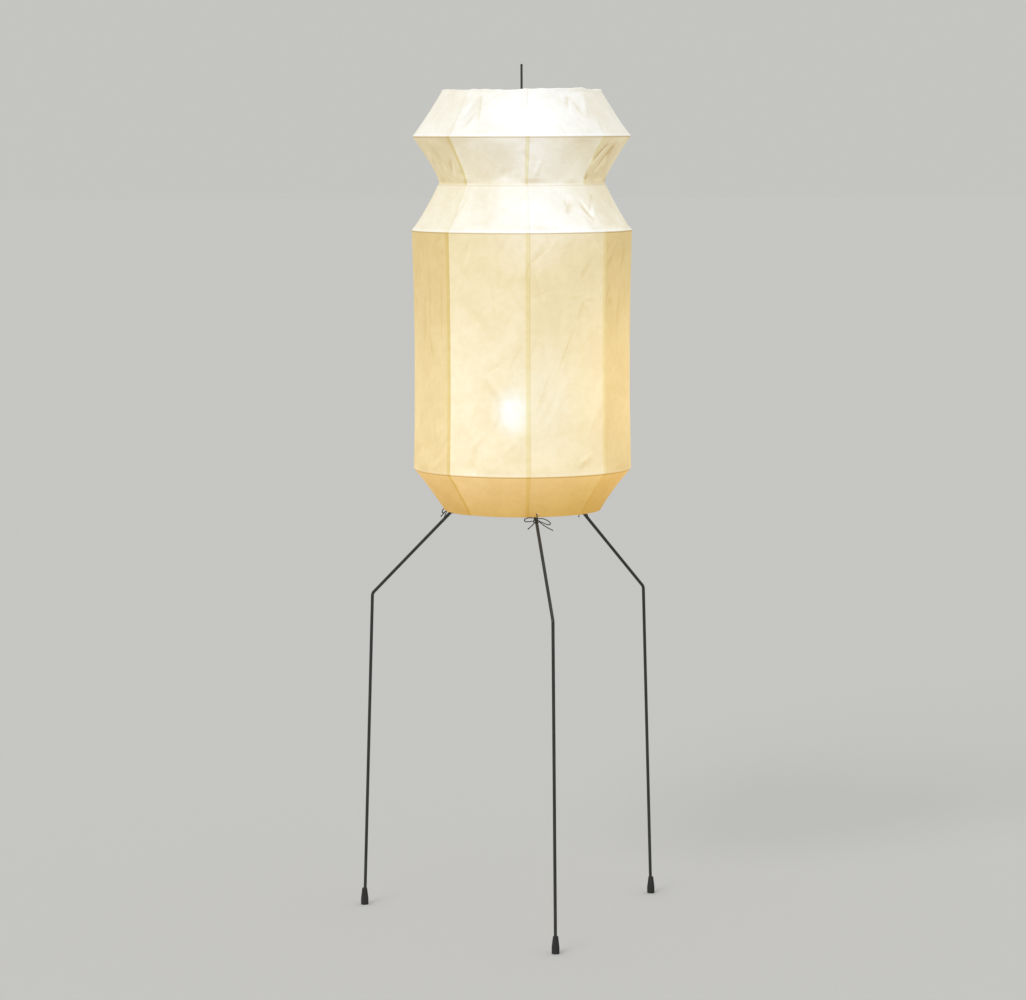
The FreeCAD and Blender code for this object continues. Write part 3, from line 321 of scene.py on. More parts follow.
# Azimuth in degrees, height in m, length in mm, lean from upright in degrees, depth and width in mm.
# A negative depth is a ridge instead of a valley.
SEEN_CREASES = [
    # the wall's front right, where the paper is crumpled most
    (8.8, 1.486, 74, 48, 1.1, 9), (14.0, 1.500, 60, 50, -0.8, 8), (2.6, 1.447, 36, 10, 0.8, 6),
    (35.5, 1.460, 67, 30, 1.2, 8), (38.5, 1.440, 110, 14, -1.0, 9), (32.3, 1.366, 53, 22, 1.0, 8),
    (23.9, 1.284, 125, 23, 0.9, 15), (28.5, 1.290, 120, 22, -0.7, 13), (31.0, 1.392, 111, 97, 0.5, 6),
    (20.0, 1.480, 80, 30, -0.6, 11), (24.0, 1.505, 46, 64, 0.6, 7), (11.0, 1.405, 60, 66, 0.5, 9),
    # beside the right-hand seam
    (52.3, 1.505, 37, 44, 1.0, 6), (53.5, 1.476, 60, 37, 1.1, 7), (52.0, 1.410, 75, 19, 1.0, 8),
    (62.0, 1.368, 112, 11, 1.1, 10), (57.0, 1.420, 80, -12, -0.9, 8), (53.6, 1.386, 34, 46, 0.9, 5),
    (53.8, 1.384, 30, -42, 0.9, 5), (67.0, 1.480, 90, 16, 0.9, 9), (72.0, 1.400, 120, -8, -0.9, 9),
    # upright folds at the left
    (-57.8, 1.385, 165, 0, 1.1, 10), (-46.9, 1.378, 190, 2, 0.9, 9), (-52.0, 1.400, 150, -2, -0.9, 8),
    (-64.0, 1.330, 140, 4, 0.9, 9), (-48.5, 1.515, 34, 58, 0.7, 6), (-70.0, 1.440, 120, -6, 0.9, 9),
    # round the bright spot
    (-13.7, 1.192, 99, -39, -0.8, 13), (-15.4, 1.243, 60, 60, 0.6, 9), (17.0, 1.172, 109, 25, -0.8, 13),
    (11.0, 1.190, 90, 20, 0.6, 10), (-4.0, 1.265, 70, 30, 0.5, 10), (-24.0, 1.350, 80, -30, 0.4, 12),
    (-12.0, 1.400, 60, 62, 0.4, 9), (34.9, 1.041, 50, 60, 0.6, 8), (-30.0, 1.470, 90, 34, -0.4, 12),
    # top band
    (-27.0, 1.796, 64, -10, 1.2, 9), (-31.0, 1.772, 40, 24, 0.9, 7), (-34.0, 1.800, 60, 18, -0.8, 10),
    (31.0, 1.805, 36, 12, 1.1, 9), (38.0, 1.792, 44, -24, 0.9, 8), (44.0, 1.800, 50, 20, -0.8, 9),
    # neck and the band below it
    (52.0, 1.700, 50, 30, 1.1, 7), (47.5, 1.668, 46, -6, -0.9, 6), (60.0, 1.690, 60, 22, 1.0, 8),
    (-50.0, 1.672, 40, 20, 0.6, 7), (-60.0, 1.690, 50, -10, 0.7, 8), (30.0, 1.594, 44, 30, 0.8, 9),
    (41.0, 1.580, 50, -26, 0.9, 8), (47.0, 1.590, 50, 34, -0.8, 8), (-38.0, 1.590, 56, 24, 0.6, 9),
]
STREWN_ON_WALL = 170
STREWN_ON_BAND = 14
CREASE_SEED = 41
TALL = 0.2  # metres between the folds of a band that counts as the wall
FOLD_GAP = 0.02  # metres from a fold to the nearest middle of a strewn crease


def strew_creases():
    """Creases at random, most of them near upright, over the parts that the list leaves plain."""
    dice = random.Random(CREASE_SEED)
    strewn = []
    for band in range(len(BAND_DRAW)):
        low, high = folds[band][1], folds[band + 1][1]
        tall = high - low > TALL
        for _ in range(STREWN_ON_WALL if tall else STREWN_ON_BAND):
            azimuth = dice.uniform(-180.0, 180.0)
            ridge = dice.random() < 0.3
            height = dice.uniform(low + FOLD_GAP, high - FOLD_GAP)
            length = dice.uniform(30, 110) if tall else dice.uniform(18, 46)
            lean = dice.gauss(0.0, 32.0)
            depth = dice.uniform(0.15, 0.6) * (0.6 if abs(azimuth) < 45.0 else 1.0)
            strewn.append((azimuth, height, length, lean, -depth if ridge else depth, dice.uniform(6, 13)))
    return strewn


creases = SEEN_CREASES + strew_creases()
print(len(creases), "creases")


def turns_apart(azimuths, azimuth):
    """Signed differences in azimuth, from -180 to 180 degrees."""
    return (azimuths - azimuth + 180.0) % 360.0 - 180.0


def crease_depths(azimuths, heights, radii):
    """How deep the creases press the paper in at each point, and how near each point is to one."""
    depths = np.zeros(len(azimuths))
    nearness = np.zeros(len(azimuths))
    for azimuth, height, length, lean, depth, width in creases:
        across = np.radians(turns_apart(azimuths, azimuth)) * radii / MM
        up = (heights - height) / MM
        slant = math.radians(lean)
        along = up * math.cos(slant) + across * math.sin(slant)
        beside = np.abs(across * math.cos(slant) - up * math.sin(slant))
        taper = np.clip(1.0 - (2.0 * along / length) ** 2, 0.0, 1.0)
        depths += depth * MM * taper * np.clip(1.0 - beside / width, 0.0, 1.0)
        mark = np.clip(1.0 - beside / CREASE_SHADE_HALF_WIDTH, 0.0, 1.0)
        nearness = np.maximum(nearness, taper * mark * min(depth, 1.0))
    return depths, nearness


def waves(azimuths, heights):
    """Wide, soft swells from a few crossing sine waves, between -1 and 1."""
    turn = np.radians(azimuths)
    return (np.sin(5 * turn + 23 * heights) * 0.4 + np.sin(9 * turn - 31 * heights + 1.3) * 0.3
            + np.sin(14 * turn + 47 * heights + 4.0) * 0.2 + np.sin(23 * turn - 12 * heights) * 0.1)


def freedom(heights, reach):
    """0 at a hoop, rising to 1 at a distance where its wire no longer holds the paper."""
    distance = np.min([np.abs(heights - height) for radius, height in folds], axis=0)
    share = np.clip(distance / reach, 0.0, 1.0)
    return share * share * (3.0 - 2.0 * share)


print("paper sinks up to", round(SINK / MM, 1), "mm more between the seams")


# %% [markdown]
# ## Eight strips
#
# Each copy of the blank is turned to its place and pressed in along its normals by the waves and
# creases there. Towards the edge that lies over its neighbour it moves out by one layer of paper
# and glue. A UV map holds how far a point is across the strip, for the seam's darker line.
# Attributes hold how near a point is to a crease, for a painted shade along it, how much more light
# its slope lets through, how much painted shade darkens the strip, and how clearly its seam shows there.

# %% Copy and shape the strips
GLOBE = 30.0 * MM  # radius of the round part of a bulb
RAY_REACH = 0.24  # the usual way from a bulb to the paper
STRIP_SIDE_SHADE = [0.985, 0.80, 0.90, 0.97, 1.0, 0.93, 0.79, 1.0]  # painted shade: the strips towards the left and right sides darker and yellower
# From the lowest band up: how clearly the strips' painted shade and the seams show through the glare
SIDE_SHADE_SHOWS = [0.5, 1.0, 0.25, 0.65, 0.15]
SEAM_SHOWS = [1.0, 0.85, 0.15, 1.0, 0.1]


def globe_middle(lamp):
    low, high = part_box(f"{lamp}_bulb_glass")
    return Vector(((low.x + high.x) / 2, (low.y + high.y) / 2, high.z - GLOBE))


BULB_MIDDLES = [globe_middle("lower"), globe_middle("upper")]


def map_strip(strip, across):
    """A UV map whose U runs from 0 to 1 across the strip, and whose V is the height in metres."""
    layer = strip.data.uv_layers.new(name="strip_map")
    corner_points = np.empty(len(strip.data.loops), dtype=np.int32)
    strip.data.loops.foreach_get("vertex_index", corner_points)
    heights = read_places(strip)[:, 2]
    pairs = np.stack([across[corner_points] / STRIP_ANGLE, heights[corner_points]], axis=1)
    layer.data.foreach_set("uv", pairs.ravel().astype(np.float32))


def rim_height(azimuths, heights):
    """How much higher than the hoop's hem the torn top rim stands."""
    ruffle = np.abs(waves(azimuths * 2.0 + 40.0, heights)) + 0.5 * np.abs(np.sin(np.radians(azimuths * 17.0)))
    rise = RIM_RUFFLE * ruffle
    for azimuth, half_width, height in RIM_BUMPS:
        nearness = np.clip(1.0 - np.abs(turns_apart(azimuths, azimuth)) / half_width, 0.0, 1.0)
        rise += height * MM * np.sqrt(nearness)
    return rise


def shape_strip(index, crumpled=True):
    """Places of one strip's points, and how near each is to a crease."""
    azimuths = FIRST_SEAM + STRIP_PITCH * index + blank_across
    radii = np.hypot(blank_places[:, 0], blank_places[:, 1])
    heights = blank_places[:, 2]
    depths, nearness = crease_depths(azimuths, heights, radii)
    creased = freedom(heights, HELD_BY_WIRE)
    sunk = freedom(heights, SLOPE_REACH)
    between_seams = np.sin(np.pi * np.clip(blank_across / STRIP_PITCH, 0.0, 1.0)) ** 2
    inwards = sunk * SINK * between_seams
    if crumpled:
        inwards += creased * (depths - SWELL * waves(azimuths, heights))
    inwards -= (PAPER + GLUE) * blank_across / STRIP_ANGLE
    shaped = blank_places - blank_normals * inwards[:, None]
    at_top = np.clip((heights - top_wire_height) / HEM, 0.0, 1.0)
    shaped[:, 2] += at_top * rim_height(azimuths, heights)
    turn = math.radians(FIRST_SEAM + STRIP_PITCH * index - 90.0)
    x = shaped[:, 0] * math.cos(turn) - shaped[:, 1] * math.sin(turn)
    y = shaped[:, 0] * math.sin(turn) + shaped[:, 1] * math.cos(turn)
    return np.stack([x, y, shaped[:, 2]], axis=1), nearness * creased


def store(piece, name, values):
    """Keeps one value per point as an attribute that a material can read."""
    attribute = piece.data.attributes.new(name, "FLOAT", "POINT")
    attribute.data.foreach_set("value", values.astype(np.float32))


def by_band(values):
    """Gives each point of the blank strip the value of its band."""
    band = np.searchsorted([height for radius, height in folds[1:-1]], blank_places[:, 2])
    return np.take(values, band)


def light_change(places, smooth_normals, crumpled_normals):
    """How much more light a point lets through because a crease turns it towards a bulb."""
    change = np.zeros(len(places))
    for bulb in BULB_MIDDLES:
        ray = places - np.array(bulb)
        distance = np.linalg.norm(ray, axis=1)
        nearness = (RAY_REACH / distance) ** 2
        change += nearness * np.sum((crumpled_normals - smooth_normals) * ray, axis=1) / distance
    return change


def make_strip(index):
    clear_selection()
    strip = blank.copy()
    strip.data = blank.data.copy()
    bpy.context.collection.objects.link(strip)
    map_strip(strip, blank_across)
    write_places(strip, shape_strip(index, crumpled=False)[0])
    smooth_normals = read_normals(strip)
    places, nearness = shape_strip(index)
    write_places(strip, places)
    store(strip, "crease", nearness)
    store(strip, "turned", light_change(places, smooth_normals, read_normals(strip)))
    store(strip, "side_shade", STRIP_SIDE_SHADE[index] ** by_band(SIDE_SHADE_SHOWS))
    store(strip, "seam", by_band(SEAM_SHOWS))
    return strip


strips = [make_strip(index) for index in range(STRIP_COUNT)]
bpy.data.objects.remove(blank)


# %% [markdown]
# ## Holes for the ties, and the paper's thickness
#
# Each tie goes in through a small hole in the paper just above the bottom hoop. The grid is made
# finer there, the points inside the hole are deleted and those at its edge are moved onto a
# circle, which leaves a neat round hole. Then Solidify thickens the sheet inwards, with the inner
# face in a second material.

# %% Holes and thickness
LEG_AZIMUTHS = {"front": 10.2, "right": 130.2, "left": 250.2}
TIE_HOLE = 2.2 * MM  # radius
TIE_HOLE_RISE = 3.6 * MM
# In radii of the hole: how far the grid is made finer, is deleted, and is moved onto the circle
MADE_FINER, DELETED, ROUNDED = 2.6, 0.9, 1.12


def outwards(azimuth):
    """The level direction at an azimuth from the front towards the right."""
    angle = math.radians(azimuth)
    return Vector((math.sin(angle), -math.cos(angle), 0.0))


def along_hoop(azimuth):
    return Vector((0.0, 0.0, 1.0)).cross(outwards(azimuth))


def pierce(strip, azimuth):
    """Opens a round hole in a strip above the bottom hoop."""
    middle = outwards(azimuth) * folds[0][0] + Vector((0.0, 0.0, bottom_wire_height + TIE_HOLE_RISE))
    sideways = along_hoop(azimuth)

    def from_middle(place):
        return (place - middle).dot(sideways), place.z - middle.z

    make_active(strip)
    bpy.ops.object.mode_set(mode="EDIT")
    select_points(strip, lambda place: math.hypot(*from_middle(place)) < TIE_HOLE * MADE_FINER)
    bpy.ops.mesh.subdivide(number_cuts=3)
    select_points(strip, lambda place: math.hypot(*from_middle(place)) < TIE_HOLE * DELETED)
    bpy.ops.mesh.delete(type="VERT")
    bpy.ops.object.mode_set(mode="OBJECT")
    for point in strip.data.vertices:
        across, up_by = from_middle(point.co)
        distance = math.hypot(across, up_by)
        if distance < TIE_HOLE * ROUNDED:
            grow = TIE_HOLE / distance
            point.co += sideways * across * (grow - 1.0)
            point.co.z += up_by * (grow - 1.0)


lit_paper = bpy.data.materials.new("lit_paper")
inner_paper = bpy.data.materials.new("inner_paper")


def thicken(strip):
    """Gives the sheet its thickness. The inner face takes the second material."""
    strip.data.materials.append(lit_paper)
    strip.data.materials.append(inner_paper)
    make_active(strip)
    wall = strip.modifiers.new("thickness", "SOLIDIFY")
    wall.thickness = PAPER
    wall.offset = -1.0
    wall.material_offset = 1
    bpy.ops.object.modifier_apply(modifier=wall.name)
    bpy.ops.object.shade_smooth()


for azimuth in LEG_AZIMUTHS.values():
    pierce(strips[int((azimuth - FIRST_SEAM) // STRIP_PITCH)], azimuth)
for index, strip in enumerate(strips):
    thicken(strip)
    name_and_ride(strip, f"paper_strip_{index + 1}", "shade")
    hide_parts(f"paper_gore_{index + 1}")


# %% [markdown]
# ## Black cord
#
# Three ties hold the bottom hoop down to the legs. Each is one length of thin black cord: a turn
# round hoop and leg, a knot in front of it, two loops and two loose ends. Every run of the cord is
# a NURBS spline, which is smooth everywhere. Three strands then wind round the line that the
# spline gives, because at this size a real cord shows its twist.

# %% Routes of the ties
CORD = 1.25 * MM  # radius
STRAND = 0.64 * MM
STRAND_OUT = 0.60 * MM  # from the middle of the cord to the middle of a strand
TWIST = 6.5 * MM  # length of one full turn of a strand
STRAND_COUNT = 3
FRAY = 4.0 * MM  # from a loose end to where its strands begin to part
PARTING = 1.2

# In mm from the middle of the hoop's wire above the leg: outwards, along the hoop, up
KNOT = (5.0, 0.5, -7.0)
KNOT_TOP = (5.0, 0.5, -5.2)
KNOT_FOOT = (5.0, 0.5, -8.8)
WRAP = [KNOT_TOP, (6.4, 0.6, 4.4), (-3.9, -0.9, 4.4), (-2.8, -6.6, -12.2), (-6.1, -4.7, -15.5),
        (-7.5, 0.0, -16.9), (-6.1, 4.7, -15.5), (-2.8, 6.6, -12.2), (2.6, 4.2, -9.6), KNOT_FOOT]
BOWS = {
    "front": [
        [KNOT_TOP, (6.5, -9.0, -3.0), (7.5, -20.0, -2.5), (8.0, -29.5, -6.0), (8.0, -27.0, -11.5),
         (7.5, -14.0, -11.0), KNOT_FOOT],
        [KNOT_TOP, (6.5, 10.0, -4.5), (7.5, 21.0, -8.0), (8.0, 30.5, -15.5), (8.0, 26.0, -20.0),
         (7.5, 12.0, -14.0), KNOT_FOOT],
        [KNOT, (8.0, -7.0, -15.0), (9.0, -14.0, -22.0), (9.5, -21.0, -27.0)],
        [KNOT, (8.0, 10.0, -17.0), (9.5, 22.0, -25.0), (10.0, 34.0, -31.0)],
    ],
    "right": [
        [KNOT_TOP, (6.5, -9.0, -3.0), (7.5, -20.0, -4.0), (8.0, -28.0, -9.0), (8.0, -24.0, -14.0),
         (7.5, -13.0, -12.0), KNOT_FOOT],
        [KNOT_TOP, (6.5, 10.0, -3.5), (7.5, 20.0, -5.0), (8.0, 28.0, -11.0), (8.0, 24.0, -15.5),
         (7.5, 12.0, -12.5), KNOT_FOOT],
        [KNOT, (8.0, -6.0, -15.0), (9.0, -11.0, -24.0), (9.5, -15.0, -33.0)],
        [KNOT, (8.0, 8.0, -16.0), (9.0, 14.0, -25.0), (9.5, 18.0, -34.0)],
    ],
    "left": [
        [KNOT_TOP, (8.0, -8.0, -4.0), (10.0, -17.0, -4.5), (12.0, -25.0, -9.5), (11.5, -21.0, -14.0),
         (9.0, -11.0, -11.5), KNOT_FOOT],
        [KNOT_TOP, (8.0, 9.0, -4.0), (10.0, 18.0, -5.5), (11.0, 26.0, -11.5), (10.5, 22.0, -16.0),
         (8.5, 11.0, -12.5), KNOT_FOOT],
        [KNOT, (12.0, -4.0, -12.0), (19.0, -6.0, -18.5), (26.0, -7.0, -26.0)],
        [KNOT, (8.5, 9.0, -17.0), (10.0, 15.0, -26.0), (10.5, 19.0, -35.0)],
    ],
}
# The knot's turn round the roots of the loops
KNOT_TURN = [(8.4, -0.2, -7.2), (7.2, 0.6, -4.2), (3.6, 1.2, -3.6), (1.6, 1.6, -7.0), (3.6, 1.2, -10.4),
             (7.4, 0.2, -9.8), (8.6, -0.8, -7.0), (7.4, -1.4, -4.4), (4.0, -1.8, -4.2)]
LOOSE_ENDS = (3, 4)  # places in a tie's list of runs: turn, two loops, two loose ends, knot


# %% Spline and strands
def make_curve(name, depth=0.0):
    data = bpy.data.curves.new(name, "CURVE")
    data.dimensions = "3D"
    data.resolution_u = 12
    data.bevel_depth = depth
    data.bevel_resolution = 2
    data.use_fill_caps = depth > 0.0
    curve = bpy.data.objects.new(name, data)
    bpy.context.collection.objects.link(curve)
    return curve


def add_spline(curve, places):
    spline = curve.data.splines.new("NURBS")
    spline.points.add(len(places) - 1)
    for point, place in zip(spline.points, places):
        point.co = (*place, 1.0)
    spline.order_u = 3
    spline.use_endpoint_u = True


def line_through(places):
    """The points of the smooth line that a NURBS spline draws from its control points."""
    curve = make_curve("route")
    add_spline(curve, places)
    mesh = bpy.data.meshes.new_from_object(curve)
    line = [point.co.copy() for point in mesh.vertices]
    bpy.data.meshes.remove(mesh)
    bpy.data.objects.remove(curve)
    return line


def strand_along(line, turned, loose_end):
    """One strand that winds round a line. A loose end spreads a little, where the twist opens."""
    side = (line[1] - line[0]).orthogonal().normalized()
    travelled = 0.0
    total = sum((after - before).length for before, after in zip(line, line[1:]))
    places = []
    for index, place in enumerate(line):
        before = line[max(index - 1, 0)]
        after = line[min(index + 1, len(line) - 1)]
        ahead = (after - before).normalized()
        side = (side - ahead * side.dot(ahead)).normalized()
        if index:
            travelled += (place - line[index - 1]).length
        angle = turned + 2.0 * math.pi * travelled / TWIST
        out = STRAND_OUT
        if loose_end:
            out *= 1.0 + PARTING * max(0.0, 1.0 - (total - travelled) / FRAY) ** 2
        places.append(place + (side * math.cos(angle) + ahead.cross(side) * math.sin(angle)) * out)
    return places


def make_tie(leg):
    azimuth = LEG_AZIMUTHS[leg]
    middle = outwards(azimuth) * bottom_wire + Vector((0.0, 0.0, bottom_wire_height))
    strands = make_curve("tie_strands", STRAND)
    strands.data.resolution_u = 1
    lengths = []
    runs = [WRAP] + BOWS[leg] + [KNOT_TURN]
    for run, route in enumerate(runs):
        places = [middle + (outwards(azimuth) * out + along_hoop(azimuth) * along
                            + Vector((0.0, 0.0, up_by))) * MM for out, along, up_by in route]
        line = line_through(places)
        lengths.append(sum((after - before).length for before, after in zip(line, line[1:])))
        for strand in range(STRAND_COUNT):
            turned = 2.0 * math.pi * strand / STRAND_COUNT
            add_spline(strands, strand_along(line, turned, loose_end=run in LOOSE_ENDS))
    make_active(strands)
    bpy.ops.object.convert(target="MESH")
    tie = bpy.context.object
    bpy.ops.object.shade_smooth()
    print(leg, "tie", round(sum(lengths[:-1]) / MM), "mm of cord and", round(lengths[-1] / MM),
          "mm more in the knot,", len(tie.data.polygons), "faces")
    return tie


ties = {}
for leg in LEG_AZIMUTHS:
    ties[leg] = name_and_ride(make_tie(leg), f"cord_{leg}", "shade")
    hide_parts(f"tie_{leg}")


# %% [markdown]
# ## Helpers for materials
#
# A material is a small network. These helpers add a node, join two sockets and work out a sum,
# so that each finish below reads as what it does. Patterns follow Object coordinates, which move
# with the piece.

# %% Material helpers
def add_node(tree, kind, **settings):
    node = tree.nodes.new(kind)
    for name, value in settings.items():
        setattr(node, name, value)
    return node


def feed(tree, socket, value):
    """Joins a socket to another one, or gives it a plain value."""
    if isinstance(value, bpy.types.NodeSocket):
        tree.links.new(value, socket)
    elif hasattr(value, "__len__") and len(value) == 3 and socket.type == "RGBA":
        socket.default_value = (*value, 1.0)
    else:
        socket.default_value = value


def calculate(tree, operation, first, second=0.0, third=0.0):
    node = add_node(tree, "ShaderNodeMath", operation=operation)
    for socket, value in zip(node.inputs, (first, second, third)):
        feed(tree, socket, value)
    return node.outputs["Value"]


def blend_colors(tree, share, first, second, how="MIX"):
    node = add_node(tree, "ShaderNodeMix", data_type="RGBA", blend_type=how, clamp_factor=True)
    feed(tree, node.inputs["Factor"], share)
    feed(tree, node.inputs[6], first)
    feed(tree, node.inputs[7], second)
    return node.outputs[2]


def blend_values(tree, share, low, high):
    node = add_node(tree, "ShaderNodeMapRange")
    feed(tree, node.inputs["Value"], share)
    feed(tree, node.inputs["To Min"], low)
    feed(tree, node.inputs["To Max"], high)
    return node.outputs["Result"]


def soft_step(tree, value, start, end):
    """0 at start and 1 at end, smooth between. start may be the larger of the two."""
    node = add_node(tree, "ShaderNodeMapRange", interpolation_type="SMOOTHSTEP")
    feed(tree, node.inputs["Value"], value)
    feed(tree, node.inputs["From Min"], start)
    feed(tree, node.inputs["From Max"], end)
    return node.outputs["Result"]


def noise_at(tree, vector, scale, detail=2.0, roughness=0.5, distortion=0.0):
    node = add_node(tree, "ShaderNodeTexNoise")
    tree.links.new(vector, node.inputs["Vector"])
    feed(tree, node.inputs["Scale"], scale)
    node.inputs["Detail"].default_value = detail
    node.inputs["Roughness"].default_value = roughness
    node.inputs["Distortion"].default_value = distortion
    return node.outputs["Fac"]


def object_place(tree):
    return add_node(tree, "ShaderNodeTexCoord").outputs["Object"]


def new_group(name, inputs, outputs):
    """A shader node group with named sockets: its tree, its inputs and its outputs."""
    tree = bpy.data.node_groups.new(name, "ShaderNodeTree")
    for label, kind in inputs.items():
        tree.interface.new_socket(name=label, in_out="INPUT", socket_type=f"NodeSocket{kind}")
    for label, kind in outputs.items():
        tree.interface.new_socket(name=label, in_out="OUTPUT", socket_type=f"NodeSocket{kind}")
    return tree, add_node(tree, "NodeGroupInput").outputs, add_node(tree, "NodeGroupOutput").inputs


def place_group(tree, group, **values):
    node = add_node(tree, "ShaderNodeGroup", node_tree=group)
    for label, value in values.items():
        feed(tree, node.inputs[label.replace("_", " ").capitalize()], value)
    return node.outputs


def new_material(name):
    """A material's node tree and its main shader. The paper's two materials exist already."""
    material = bpy.data.materials.get(name) or bpy.data.materials.new(name)
    material.use_nodes = True
    return material, material.node_tree, material.node_tree.nodes["Principled BSDF"]


def add_bump(tree, shader, height, distance, strength=1.0):
    bump = add_node(tree, "ShaderNodeBump")
    bump.inputs["Distance"].default_value = distance
    bump.inputs["Strength"].default_value = strength
    tree.links.new(height, bump.inputs["Height"])
    tree.links.new(bump.outputs["Normal"], shader.inputs["Normal"])


# %% [markdown]
# ## Shared effects
#
# Three effects turn up in many finishes, so each is a node group: a finish that is uneven in
# colour and gloss, dust that settles on faces that look up, and fine scratches from handling.

# %% Uneven finish, dust and scratches
def make_uneven():
    tree, given, out = new_group(
        "uneven finish",
        {"Dark": "Color", "Light": "Color", "Smooth": "Float", "Rough": "Float",
         "Patches": "Float", "Grain": "Float"},
        {"Color": "Color", "Roughness": "Float", "Relief": "Float"})
    place = object_place(tree)
    patches = noise_at(tree, place, given["Patches"], detail=4.0, roughness=0.6)
    grain = noise_at(tree, place, given["Grain"], detail=2.0)
    share = calculate(tree, "MULTIPLY_ADD", grain, 0.35, calculate(tree, "MULTIPLY", patches, 0.65))
    contrast = soft_step(tree, share, 0.32, 0.68)
    feed(tree, out["Color"], blend_colors(tree, contrast, given["Dark"], given["Light"]))
    feed(tree, out["Roughness"], blend_values(tree, contrast, given["Smooth"], given["Rough"]))
    feed(tree, out["Relief"], grain)
    return tree


def make_dust():
    tree, given, out = new_group("dust", {"Amount": "Float"}, {"Mask": "Float"})
    source = add_node(tree, "ShaderNodeTexCoord")
    split = add_node(tree, "ShaderNodeSeparateXYZ")
    tree.links.new(source.outputs["Normal"], split.inputs["Vector"])
    facing_up = soft_step(tree, split.outputs["Z"], 0.25, 0.95)
    clumps = noise_at(tree, source.outputs["Object"], 260.0, detail=5.0, roughness=0.65)
    mask = calculate(tree, "MULTIPLY", facing_up, soft_step(tree, clumps, 0.35, 0.65))
    feed(tree, out["Mask"], calculate(tree, "MULTIPLY", mask, given["Amount"]))
    return tree


def make_scratches():
    tree, given, out = new_group("scratches", {"Spacing": "Float"}, {"Mask": "Float"})
    turn = add_node(tree, "ShaderNodeMapping")
    turn.inputs["Rotation"].default_value = (0.4, 0.9, 0.2)
    turn.inputs["Scale"].default_value = (1.0, 1.0, 0.06)
    tree.links.new(object_place(tree), turn.inputs["Vector"])
    streaks = noise_at(tree, turn.outputs["Vector"], given["Spacing"], detail=3.0, roughness=0.7)
    feed(tree, out["Mask"], soft_step(tree, streaks, 0.62, 0.72))
    return tree


uneven_finish = make_uneven()
dust = make_dust()
scratches = make_scratches()
print("groups", [group.name for group in bpy.data.node_groups])


# %% [markdown]
# ## Paint, rubber, plastic and metal
#
# The frame is steel with thin satin black paint: almost even in colour, a little glossier in some
# places, and dusty where it faces up. Every other hard finish is the same recipe with its own
# colours, gloss and grain, so one function makes them from a table of names.

# %% Hard finishes
DUST_COLOR = (0.17, 0.165, 0.15)
BARE_STEEL = (0.16, 0.155, 0.15)

# Two colours and two roughnesses that the finish varies between, patches and grains per metre,
# bump in mm, how much dust settles, and the colour of scratches
FINISHES = {
    "black_paint": dict(dark=(0.011, 0.012, 0.011), light=(0.024, 0.025, 0.022), smooth=0.34, rough=0.52,
                        patches=22, grain=1100, bump=0.03, dust=0.22, scratch=BARE_STEEL),
    "black_wire": dict(dark=(0.020, 0.018, 0.015), light=(0.050, 0.044, 0.036), smooth=0.45, rough=0.65,
                       patches=40, grain=1500, bump=0.04, dust=0.30, scratch=BARE_STEEL),
    "black_rubber": dict(dark=(0.011, 0.011, 0.011), light=(0.026, 0.025, 0.024), smooth=0.72, rough=0.90,
                         patches=60, grain=2200, bump=0.05, dust=0.30, scratch=None),
    "screw_steel": dict(dark=(0.22, 0.22, 0.22), light=(0.40, 0.40, 0.39), smooth=0.28, rough=0.45,
                        patches=160, grain=3000, bump=0.01, dust=0.0, scratch=BARE_STEEL),
    "plated_steel": dict(dark=(0.48, 0.47, 0.42), light=(0.66, 0.65, 0.60), smooth=0.24, rough=0.42,
                         patches=120, grain=2400, bump=0.01, dust=0.0, scratch=BARE_STEEL),
    "white_plastic": dict(dark=(0.70, 0.68, 0.61), light=(0.80, 0.78, 0.73), smooth=0.34, rough=0.46,
                          patches=30, grain=1800, bump=0.02, dust=0.15, scratch=None),
    "black_plastic": dict(dark=(0.012, 0.012, 0.013), light=(0.026, 0.026, 0.027), smooth=0.40, rough=0.55,
                          patches=50, grain=1800, bump=0.03, dust=0.10, scratch=None),
    "porcelain": dict(dark=(0.74, 0.71, 0.64), light=(0.84, 0.82, 0.77), smooth=0.30, rough=0.55,
                      patches=60, grain=1200, bump=0.03, dust=0.05, scratch=None),
    "brass": dict(dark=(0.46, 0.31, 0.11), light=(0.72, 0.53, 0.24), smooth=0.22, rough=0.40,
                  patches=90, grain=2600, bump=0.01, dust=0.0, scratch=(0.34, 0.23, 0.10)),
    "cap_metal": dict(dark=(0.60, 0.60, 0.58), light=(0.78, 0.78, 0.76), smooth=0.22, rough=0.38,
                      patches=110, grain=2600, bump=0.01, dust=0.0, scratch=BARE_STEEL),
    "solder": dict(dark=(0.36, 0.36, 0.37), light=(0.58, 0.58, 0.58), smooth=0.35, rough=0.60,
                   patches=500, grain=3000, bump=0.05, dust=0.0, scratch=None),
}
METALS = ("screw_steel", "plated_steel", "brass", "cap_metal", "solder")


def make_hard_finish(name):
    recipe = FINISHES[name]
    material, tree, shader = new_material(name)
    finish = place_group(tree, uneven_finish, dark=recipe["dark"], light=recipe["light"],
                         smooth=recipe["smooth"], rough=recipe["rough"],
                         patches=recipe["patches"], grain=recipe["grain"])
    color = finish["Color"]
    if recipe["scratch"]:
        marks = place_group(tree, scratches, spacing=420.0)["Mask"]
        color = blend_colors(tree, calculate(tree, "MULTIPLY", marks, 0.3), color, recipe["scratch"])
    if recipe["dust"]:
        settled = place_group(tree, dust, amount=recipe["dust"])["Mask"]
        color = blend_colors(tree, settled, color, DUST_COLOR)
    feed(tree, shader.inputs["Base Color"], color)
    feed(tree, shader.inputs["Roughness"], finish["Roughness"])
    shader.inputs["Metallic"].default_value = 1.0 if name in METALS else 0.0
    add_bump(tree, shader, finish["Relief"], recipe["bump"] * MM, 0.5)
    return material


finishes = {name: make_hard_finish(name) for name in FINISHES}
print("hard finishes", list(finishes))


